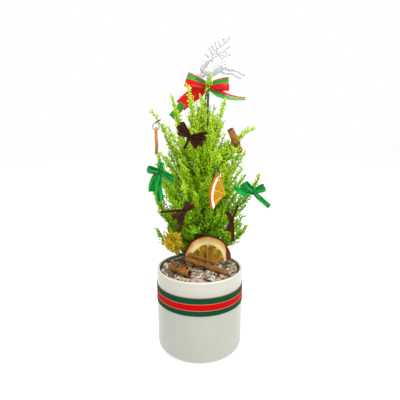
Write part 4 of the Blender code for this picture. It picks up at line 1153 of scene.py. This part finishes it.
def bow_loop(made, knot, way, across, length, opening, width, pinch, thickness, creases, phase):
    """One loop: out along way by length sin(pi s)^0.85, apart by a tear-drop's opening, and back."""
    way = unit(np.array(way, float))
    across = np.array(across, float)
    across = unit(across - way * (across @ way))
    depth = np.cross(way, across)
    s = np.linspace(0, 1, 64)
    swell = np.sin(math.pi * s)
    out = length * swell**0.85
    apart = opening / 2 * np.cos(math.pi * s) * (0.25 + 0.75 * swell)
    path = knot + way * out[:, None] + depth * apart[:, None]
    widths = pinch + (width - pinch) * swell**0.5
    side = np.broadcast_to(across, path.shape)
    return strip(made, path, side, widths, thickness, creases, phase)


def bow_tail(made, knot, points, across, width, pinch, thickness, creases, phase, from_knot=True, **sides):
    """One tail through the points. It widens out of the knot, unless it is the end of a folded tail."""
    rows = 56
    points = np.vstack([knot, mm(points)]) if from_knot else mm(points)
    path = along(points, rows)
    side = np.stack([rows_of(np.asarray(across, float)[:, i], rows) for i in range(3)], -1)
    grow = np.clip(np.linspace(0, 3.2, rows), 0, 1) ** 0.8 if from_knot else np.ones(rows)
    return strip(made, path, side, pinch + (width - pinch) * grow, thickness, creases, phase, **sides)


def knot_wrap(made, centre, radius, tilt):
    """The knot: a rounded block of ribbon with three folds round it."""
    rows, columns = 22, 28
    depth, height, fold_depth, run = 0.9, 1.15, 0.07, 0.012
    a = np.linspace(0.12, math.pi - 0.12, rows)[:, None]
    b = angles(columns)[None]
    fold = 1 + fold_depth * np.cos(6 * a) * np.cos(b) ** 2
    girth = np.sin(a) ** 0.7
    block = np.stack([girth * np.cos(b), girth * np.sin(b) * depth, -np.cos(a) * height + 0 * b], -1)
    c, s = math.cos(tilt), math.sin(tilt)
    turn = np.array(((c, 0, s), (0, 1, 0), (-s, 0, c)))
    points = block * fold[..., None] * radius @ turn.T + centre
    # tone 0.2: the satin finishes paint the knot in shade
    made.grid(points, u=(0, 0.5), v=np.linspace(0, run, rows), tone=0.2)


def make_bow(node, name, look, knot, knot_radius, thickness, creases, loops, tails, tilt=0.2):
    """Loops are (way, across, length, opening, width) and tails (points, across, width), in millimetres."""
    knot = mm(knot)
    made = Making(name)
    pinch = knot_radius * 1.2
    total = 0.0
    for i, (way, across, length, opening, width) in enumerate(loops):
        total += bow_loop(made, knot, way, across, length * MM, opening * MM, width * MM, pinch, thickness,
                          creases, i * 1.7)
    for i, (points, across, width, *sides) in enumerate(tails):
        total += bow_tail(made, knot, points, across, width * MM, pinch, thickness, creases, 0.8 + i * 2.1,
                          **(sides[0] if sides else {}))
    knot_wrap(made, knot, knot_radius, tilt)
    return made.done(look, body_of(node), node), total


# The top bow's left tail is plain red, and its end is folded so that only the green stripe shows
TOP_BOW = dict(
    knot=(10.4, 9.6, 364.3), knot_radius=0.0042, thickness=0.0004, creases=0.0009,
    loops=[((-1, -0.05, 0.30), (0.25, 0.1, 1), 29, 15, 18),
           ((1, -0.10, 0.08), (-0.1, 0.1, 1), 28, 15, 17)],
    tails=[([(-2, 11, 357), (-14, 12, 349), (-25.5, 12, 339)],
            [(-0.6, 0, 0.8), (-0.62, 0.1, 0.78), (-0.62, 0.2, 0.78), (-0.6, 0.3, 0.8)], 17,
            dict(front=(0, 0.25))),
           ([(-22, 11, 342), (-30, 10.5, 332), (-37, 10, 324)],
            [(-0.5, 0.2, 0.7), (-0.6, 0.1, 0.7), (-0.6, 0, 0.7)], 10,
            dict(front=(0.30, 0.42), back=(0.30, 0.42), from_knot=False)),
           ([(22, 10, 357), (36, 9, 351), (50, 8, 348.5), (60, 7, 348)],
            [(0, 0, 1), (0.1, 0.5, 0.9), (0.15, 0.8, 0.7), (0.1, 0.9, 0.5), (0, 0.95, 0.4)], 13,
            dict(front=(0.45, 0.12)))])
GREEN_LEFT = dict(
    knot=(-50.4, -30.2, 256),
    loops=[((-1, -0.1, 0.25), (0.25, -0.6, 0.75), 16, 10, 9),
           ((0.85, -0.35, -0.45), (0.35, -0.5, 0.7), 22, 9, 10),
           ((0.2, -0.5, 1), (1, -0.3, 0), 15, 7, 8)],
    tails=[([(-52, -33, 247), (-52, -34, 234), (-50, -33, 219)],
            [(1, 0, 0.1), (1, 0.1, 0.1), (1, 0.2, 0.1), (1, 0.3, 0.2)], 9.5),
           ([(-56, -33, 249), (-60, -33, 240), (-61, -32, 231)],
            [(1, 0, -0.5), (1, 0.3, -0.4), (0.9, 0.5, -0.3), (0.8, 0.6, -0.2)], 9)])
GREEN_RIGHT = dict(
    knot=(69.4, -24.4, 229.5),
    loops=[((-0.8, -0.2, 0.65), (0.5, -0.5, 0.6), 18, 11, 11),
           ((0.95, -0.1, 0.4), (-0.3, -0.4, 0.85), 16, 10, 10)],
    tails=[([(76, -27, 223), (83, -27, 217), (91, -26, 210)],
            [(0.5, 0, 0.8), (0.55, 0, 0.8), (0.6, 0, 0.75), (0.6, 0, 0.75)], 6.5),
           ([(60, -26, 228), (52, -27, 231), (44, -30, 236)],
            [(0, 0.2, 1), (0, 0.3, 1), (-0.2, 0.4, 0.9), (-0.3, 0.5, 0.8)], 9)])
BROWN_UPPER = dict(
    knot=(-12.4, -35.4, 300.5),
    loops=[((-1, -0.1, 0.85), (0.5, -0.7, 0.5), 19, 6, 6),
           ((-0.55, -0.45, 1), (0.8, -0.6, 0.3), 21, 6, 5.5),
           ((-1, -0.1, 0.35), (0.2, -0.7, 0.7), 15, 6, 6),
           ((1, -0.2, -0.12), (0.1, -0.6, 0.8), 21, 6, 6),
           ((0.85, -0.3, -0.5), (0.4, -0.7, 0.6), 20, 6, 6),
           ((0.6, -0.3, -0.95), (0.6, -0.7, 0.4), 17, 6, 6)],
    tails=[([(0, -37, 303), (9, -38, 305)], [(0, -0.5, 1), (0, -0.5, 1), (0, -0.5, 1)], 4.5),
           ([(-15, -38, 293), (-19, -39, 286)], [(1, -0.4, 0), (1, -0.4, -0.2), (1, -0.4, -0.4)], 3.5)])
BROWN_MIDDLE = dict(
    knot=(-18.4, -51.4, 211),
    loops=[((0.35, -0.5, 1), (1, -0.4, -0.2), 14, 6, 7),
           ((0.9, -0.2, 0.5), (0.4, -0.5, -0.8), 14, 6, 6),
           ((-0.85, -0.2, -0.45), (0.4, -0.5, -0.8), 18, 7, 6),
           ((-0.4, -0.2, -1), (0.9, -0.5, -0.3), 20, 6, 7)],
    tails=[([(-34, -52, 210.5), (-48, -52, 209)], [(0, -0.4, 1), (0, -0.4, 1), (0, -0.4, 1)], 4),
           ([(-22, -53, 198), (-25, -53, 184)], [(1, -0.3, 0), (1, -0.3, -0.1), (1, -0.3, -0.2)], 5)])
BROWN_RIGHT = dict(
    knot=(40.6, -40.0, 196),
    loops=[((-0.55, -0.3, 1), (0.8, -0.5, 0.3), 14, 5, 5),
           ((-0.3, -0.3, -1), (0.9, -0.4, -0.3), 15, 6, 6)],
    tails=[([(44, -46, 206), (47, -50, 217)], [(1, 0, -0.2), (1, 0, -0.2), (1, 0, -0.2)], 3.5),
           ([(42, -42, 184), (42.5, -42, 168)], [(1, -0.2, 0), (1, -0.2, 0), (1, -0.2, 0)], 4.5)])
WIDE = dict(knot_radius=0.0036, thickness=0.0003, creases=0.0010)
NARROW = dict(knot_radius=0.0032, thickness=0.0003, creases=0.0007)


def make_bows():
    bow, length = make_bow("top_bow", "striped_top_bow", TOP_RIBBON, **TOP_BOW)
    for node, spec in (("green_bow_left", GREEN_LEFT), ("green_bow_right", GREEN_RIGHT)):
        bow, length = make_bow(node, node.replace("green", "green_satin"), GREEN_SATIN, **WIDE, **spec)
    for node, spec in (("brown_bow_upper", BROWN_UPPER), ("brown_bow_middle", BROWN_MIDDLE),
                       ("brown_bow_right", BROWN_RIGHT)):
        make_bow(node, node.replace("brown", "brown_satin"), BROWN_SATIN, **NARROW, **spec)


# ---------------------------------------------------------------- orange slices

def slice_surface(made, centre, normal, up, radius, start, end, thickness, flesh,
                  curl=0.0, dry=0.0, drop=0.0, seed=1):
    """A citrus slice. A column is one angle, and its rows run from the middle out over the front, round the
    rind and back over the rear. The front stands at half the thickness less the flesh's dip; walls between
    segments stand proud. Drying waves the rim, curl bends the whole by curl times the square of the width's
    share, and drop lowers the middle against the rim.
    """
    face_rows, rind_rows, face_reach = 40, 9, 0.94
    wall_width, segments, tenth_of_turn = 0.0008, 10, 0.628
    rng = np.random.default_rng(seed)
    normal = unit(np.array(normal, float))
    up = unit(up - normal * (np.asarray(up, float) @ normal))
    side = np.cross(up, normal)
    full = end - start > 359
    columns = 240 if full else 180
    angle = np.radians(np.linspace(start, end, columns, endpoint=not full))
    round_edge = np.linspace(0.1, math.pi / 2, rind_rows)
    reach = np.concatenate([np.linspace(0.02, face_reach, face_rows),
                            face_reach + (1 - face_reach) * np.sin(round_edge)])
    shoulder = np.concatenate([np.ones(face_rows), np.cos(round_edge) ** 0.6])
    tenth = np.mod(angle / math.tau * segments, 1)
    inward = 0.5 - np.abs(tenth - 0.5)
    wall = np.clip(inward[:, None] * tenth_of_turn * reach[None] * radius / wall_width, 0, 1)
    in_flesh = np.clip((flesh - reach[None]) / 0.04, 0, 1) * wall
    dents = rng.normal(0, 1, (columns, len(reach)))
    for _ in range(3):
        dents = (dents + np.roll(dents, 1, 0) + np.roll(dents, -1, 0)) / 3
    dip = in_flesh * (0.00035 + dry * 0.0006) + dents * 0.00008 * (1 + dry)
    height = thickness / 2 * shoulder[None] - dip * (reach < face_reach)
    waves = (np.sin(angle * 3 + 0.6) + 0.5 * np.sin(angle * 7 + 2))[:, None]
    rim = 1 + dry * 0.012 * np.sin(angle * 9 + seed)[:, None] * reach[None] ** 4
    across = np.sin(angle)[:, None] * reach[None] * radius * rim
    rise = np.cos(angle)[:, None] * reach[None] * radius * rim - drop * (1 - reach[None])
    bow = dry * 0.0008 * waves * reach[None] ** 3 - curl * (across / radius) ** 2

    def place(level):
        return centre + side * across[..., None] + up * rise[..., None] + normal * (level + bow)[..., None]

    rows = np.concatenate([place(height), place(-height)[:, -2::-1]], axis=1).transpose(1, 0, 2)
    v = np.concatenate([reach, reach[-2::-1]])
    u = (start / 360, end / 360)
    if full:
        made.grid(rows[::-1], u=u, v=v[::-1])
    else:
        made.sector(rows[::-1], u, v[::-1])


def make_slices():
    """The hanging wedge and small slice, set by their packed boxes, and the half slice in the gravel."""
    low, high = box_of("orange_slice_front")
    radius, thickness, cut_from, cut_to = 0.030, 0.0034, -120, -22
    facing = unit(np.array((0.77, -0.64, 0.0)))
    side = np.cross(UP, facing)
    # The wedge's point lies at the box's right edge, and its upper cut edge reaches the box's top
    centre = (low + high) / 2
    centre[0] = high[0] - 0.0013
    centre[1] += (centre[0] - (low + high)[0] / 2) * side[1] / side[0]
    centre[2] = high[2] - radius * math.cos(math.radians(cut_to))
    made = Making("orange_wedge_front")
    slice_surface(made, centre, facing, UP, radius, cut_from, cut_to, thickness, 0.845, seed=3)
    made.done(FRESH_ORANGE, "front_slice", "orange_slice_front")
    low, high = box_of("orange_slice_left")
    made = Making("orange_round_left")
    slice_surface(made, (low + high) / 2, (0.993, 0.118, 0), UP, 0.0175, 0, 360, thickness, 0.74,
                  dry=0.5, seed=5)
    made.done(SMALL_ORANGE, "left_slice", "orange_slice_left")
    lean = math.radians(8)
    facing, upwards = (0.04, -math.cos(lean), math.sin(lean)), np.array((0.02, 0.1, 1))
    made = Making("orange_half_in_gravel")
    slice_surface(made, mm((11.0, -0.8, 129.7)), facing, upwards, 0.0330, -120, 90, 0.0036, 0.70,
                  curl=-0.003, dry=1.0, drop=0.0105, seed=8)
    made.done(DRIED_ORANGE, "tree", "orange_slice_base")


# ---------------------------------------------------------------- cinnamon

def quill_surface(made, start, end, radius, seed):
    """Bark rolled in from both edges: the section is a double scroll, thick as bark, run from end to end.

    A scroll's radius falls evenly with its angle. Rows run along the stick and columns round the section:
    out over the outer face, and back over the inner one.
    """
    rng = np.random.default_rng(seed)
    rows, half = 44, 64
    bark_share, scroll_turn, scroll_tightness, twist_rate = 0.17, math.pi * 1.55, 0.52, 0.25
    t = np.linspace(-1, 1, half)
    there_and_back = np.concatenate([t, t[::-1]])
    outer = radius * (1 - scroll_tightness * np.abs(t) ** 2.2)
    inner = outer - radius * bark_share * (0.75 + 0.25 * (1 - np.abs(t)))
    section = np.concatenate([outer, inner[::-1]])
    section_angle = math.pi / 2 + there_and_back * scroll_turn
    push = 0.18 * radius * np.sign(there_and_back) * np.abs(there_and_back) ** 3
    length = np.linalg.norm(end - start)
    way = unit(end - start)
    share = np.linspace(0, 1, rows)
    bend = rng.normal(0, 0.0002, 3)
    path = start + (end - start) * share[:, None] + bend * np.sin(share * math.pi)[:, None]
    _, first, second = frames_along(path, np.array((0.1, 0.2, 1.0)))
    swell = 1 + 0.05 * np.sin(share * 5 + seed)[:, None] + 0.02 * np.sin(share * 31 + seed)[:, None]
    ridges = 1 + 0.02 * np.sin(section_angle * 9 + seed)[None] + rng.normal(0, 0.008, (rows, 2 * half))
    size = section[None] * swell * ridges
    twist = section_angle[None] + twist_rate * share[:, None]
    points = path[:, None] + first[:, None] * (np.cos(twist) * size + push[None])[..., None]
    points = points + second[:, None] * (np.sin(twist) * size)[..., None]
    ragged = np.abs(rng.normal(0, 0.0003, 2 * half))[:, None]
    points[0] += way * ragged
    points[-1] -= way * ragged
    # tone for the painted shade inside the roll: the inner face gets 0.85, and the outer face stays below the
    # 0.55 where the shade begins
    dark = np.concatenate([np.clip((np.abs(t) - 0.5) * 1.2, 0, 0.5), np.full(half, 0.85)])
    tone = np.broadcast_to(dark, (rows, 2 * half))
    made.grid(points, close="folds", u=(0, 1), v=share * length / 0.02, tone=tone)


# The sticks on the gravel: both ends and the radius, in millimetres
STICKS = {
    "cinnamon_long_front": ((-20.5, -10.2, 133.4), (39, -28, 117.8), 3.5),
    "cinnamon_long_back": ((-15, -8.3, 138.4), (27, -17, 127.6), 3.0),
    "cinnamon_short_front": ((-40.2, -17, 122.4), (-12.7, -40, 123.4), 4.8),
    "cinnamon_short_back": ((-37.0, -6.2, 122.4), (-17.0, -24.5, 123.2), 4.0),
}


def make_cinnamon():
    for index, (node, (start, end, radius)) in enumerate(STICKS.items()):
        made = Making(node.replace("cinnamon", "cinnamon_quill"))
        quill_surface(made, mm(start), mm(end), radius * MM, index + 2)
        made.done(CINNAMON, "tree", node)
    low, high = box_of("cinnamon_hung")
    middle, to_end = (low + high) / 2, unit(np.array((15.5, 7.3, -34))) * 0.01625
    made = Making("cinnamon_quill_hung")
    quill_surface(made, middle - to_end, middle + to_end, 0.0046, 11)
    made.done(CINNAMON, body_of("cinnamon_hung"), "cinnamon_hung")


# ---------------------------------------------------------------- reindeer

DEER_LIMBS = [  # points are (x, z) from the stake's top, then radii, all in millimetres
    ([(-7.5, 9), (-3, 5.5), (3, 4.5), (9, 8), (15, 13), (19, 15.5)], [4.2, 5.4, 5.0, 4.8, 4.6, 2.2]),
    ([(-5.5, 6.5), (-6.5, 12), (-3.5, 17.5), (0.5, 20)], [4.6, 4.2, 3.2, 2.8]),
    ([(2.5, 20.5), (-2, 19), (-6.5, 16.8)], [3.1, 2.5, 1.5]),
    ([(1.5, 21.5), (-2, 25.5), (-5.5, 27.5)], [1.4, 1.5, 0.8]),
    ([(15, 12), (24, 9.5), (31, 8.2), (38, 6), (45, 2)], [4.2, 2.8, 2.0, 1.5, 1.5]),
    ([(13, 9), (21, 4.8), (28, 4.4), (34, 1.5), (40, -1.5)], [3.8, 2.6, 1.8, 1.4, 1.5]),
    ([(18, 14), (19.5, 18.5)], [1.6, 0.9]),
    ([(-8, 4.5), (-12.5, 1.6), (-14.6, 2.8)], [2.6, 1.5, 1.2]),
    ([(-5, 2.8), (-10, -0.2), (-7.5, -2.2)], [2.4, 1.4, 1.2])]
DEER_BEAMS = [[(2.5, 22), (6, 28), (11, 34), (18, 39), (23, 43), (25, 47)],
              [(3, 22), (9, 25), (14, 29.5), (19, 32), (25, 36)]]
DEER_TINES = [
    ((4.5, 25.5), (0.5, 34)), ((7, 29.5), (3.5, 37)), ((10, 33), (7, 41)), ((14, 36.5), (12.5, 42.5)),
    ((19.5, 40), (18, 45)), ((11, 27), (16.5, 22)), ((12, 28), (20, 24.5)), ((20, 24.5), (26, 26.5)),
    ((15, 30), (21.5, 29)), ((9, 25), (9.5, 31))]


def deer_line(points, depth=0.0):
    points = np.asarray(points, float)
    return np.stack([points[:, 0], np.full(len(points), depth), points[:, 1]], -1) * MM + STAKE_TOP


def ball(made, centre, radius):
    a = np.linspace(0.15, math.pi - 0.15, 10)[:, None]
    b = angles(14)[None]
    globe = np.stack([np.sin(a) * np.cos(b), np.sin(a) * np.sin(b), -np.cos(a) + 0 * b], -1)
    made.grid(centre + radius * globe)


def make_reindeer():
    """Limbs, antlers and beads as overlapping rounded bars, fused by a voxel remesh and smoothed."""
    bead, tine, voxel = 0.0014, 0.0008, 0.00034
    made = Making("clear_reindeer")
    for points, radii in DEER_LIMBS:
        line = along(deer_line(points), 24)
        made.grid(tube_grid(line, rows_of(radii, 24) * MM, ALONG_Y, 16))
        for end in (0, -1):
            ball(made, line[end], radii[end] * MM * 0.98)
    for beam, depth in zip(DEER_BEAMS, (-0.9, 0.9)):
        line = along(deer_line(beam, depth), 30)
        made.grid(tube_grid(line, rows_of((1.1, 1.0, 0.8), 30) * MM, ALONG_Y, 12))
        ball(made, line[-1], bead)
    for near, far in DEER_TINES:
        line = along(deer_line((near, far)), 8)
        made.grid(tube_grid(line, tine, ALONG_Y, 10))
        ball(made, line[-1], bead)
    socket = np.stack([STAKE_TOP - UP * 0.005, STAKE_TOP + UP * 0.006])
    made.grid(tube_grid(along(socket, 6), 0.0031, ALONG_Y, 18))
    deer = made.done(ACRYLIC, "topper", "reindeer")
    fuse = deer.modifiers.new("Fuse", "REMESH")
    fuse.mode, fuse.voxel_size, fuse.use_smooth_shade = "VOXEL", voxel, True
    soften = deer.modifiers.new("Soften", "SMOOTH")
    soften.factor, soften.iterations = 0.5, 4


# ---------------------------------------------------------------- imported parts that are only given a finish

def dress_packed_parts():
    # the gravel bed is painted dark, as the shade between the stones
    looks = {"foam_core": FOAM, "gravel_bed": GAP_SHADE}
    for node, obj in frame["nodes"].items():
        look = WIRE if node.endswith(("_tie", "_hook")) else looks.get(node)
        if look:
            obj.data.materials.clear()
            obj.data.materials.append(look)


# ---------------------------------------------------------------- stage

# Area lamps: place, size in metres and power in watts; all of them aim at one point on the tree
LAMPS = {"key": ((0.65, -0.95, 1.25), 0.45, 14.5), "fill": ((-1.0, -0.6, 0.7), 0.9, 2.0),
         "top": ((0.0, 0.1, 1.6), 1.2, 26.0)}
LAMP_AIM = np.array((0, 0, 0.2))
WORLD_LIGHT, WORLD_SEEN = 0.34, 1.0  # the world's strength for the light it gives, and as it is seen
FLOOR_SPAN = 6.0


def link(name, data):
    obj = bpy.data.objects.new(name, data)
    bpy.context.scene.collection.objects.link(obj)
    return obj


def make_floor():
    def pale(w):
        return {"Base Color": w.mix(w.noise(w.objects(), 2.0), srgb(150, 150, 150), srgb(156, 156, 156))}

    mesh = bpy.data.meshes.new("floor")
    corners = [(x * FLOOR_SPAN, y * FLOOR_SPAN, 0) for x, y in ((-1, -1), (1, -1), (1, 1), (-1, 1))]
    mesh.from_pydata(corners, [], [(0, 1, 2, 3)])
    mesh.materials.append(finish("pale floor", pale, Roughness=1.0, Specular_IOR_Level=0.0,
                                 Emission_Color=(1, 1, 1, 1), Emission_Strength=0.87))
    link("floor", mesh)


def make_lights():
    world = bpy.data.worlds.new("studio")
    world.use_nodes = True
    w = Wiring(world.node_tree)
    background = world.node_tree.nodes["Background"]
    seen = w.node("ShaderNodeLightPath").outputs["Is Camera Ray"]
    w.feed(background.inputs["Strength"], w.between(seen, 0, 1, WORLD_LIGHT, WORLD_SEEN))
    background.inputs["Color"].default_value = (1, 1, 1, 1)
    bpy.context.scene.world = world
    for name, (place, size, power) in LAMPS.items():
        lamp = bpy.data.lights.new(name, "AREA")
        lamp.size, lamp.energy = size, power
        obj = link(name, lamp)
        obj.location = place
        aim = unit(LAMP_AIM - np.array(place))  # a lamp shines along its own -Z
        obj.rotation_euler = (math.acos(-aim[2]), 0.0, math.atan2(aim[1], aim[0]) - math.pi / 2)


def make_camera():
    """A view from a little above, from straight in front, 33 mm on a 36 mm sensor."""
    camera = bpy.data.cameras.new("camera")
    camera.sensor_width, camera.lens = 36.0, 33.18
    camera.clip_start = 0.01
    obj = link("camera", camera)
    obj.location = (0.0005, -0.4939, 0.3153)
    downwards = 11.64
    obj.rotation_euler = (math.radians(90 - downwards), 0, 0)
    bpy.context.scene.camera = obj
    bpy.context.scene.view_settings.view_transform = "Standard"


make_camera()
make_floor()
make_lights()
make_pot()
make_band()
make_stones(np.random.default_rng(5))
make_trunk(np.random.default_rng(6))
make_stake()
make_boughs()
make_leader()
make_fixed_sprays()
make_yellow_sprig()
make_bows()
make_slices()
make_cinnamon()
make_reindeer()
dress_packed_parts()
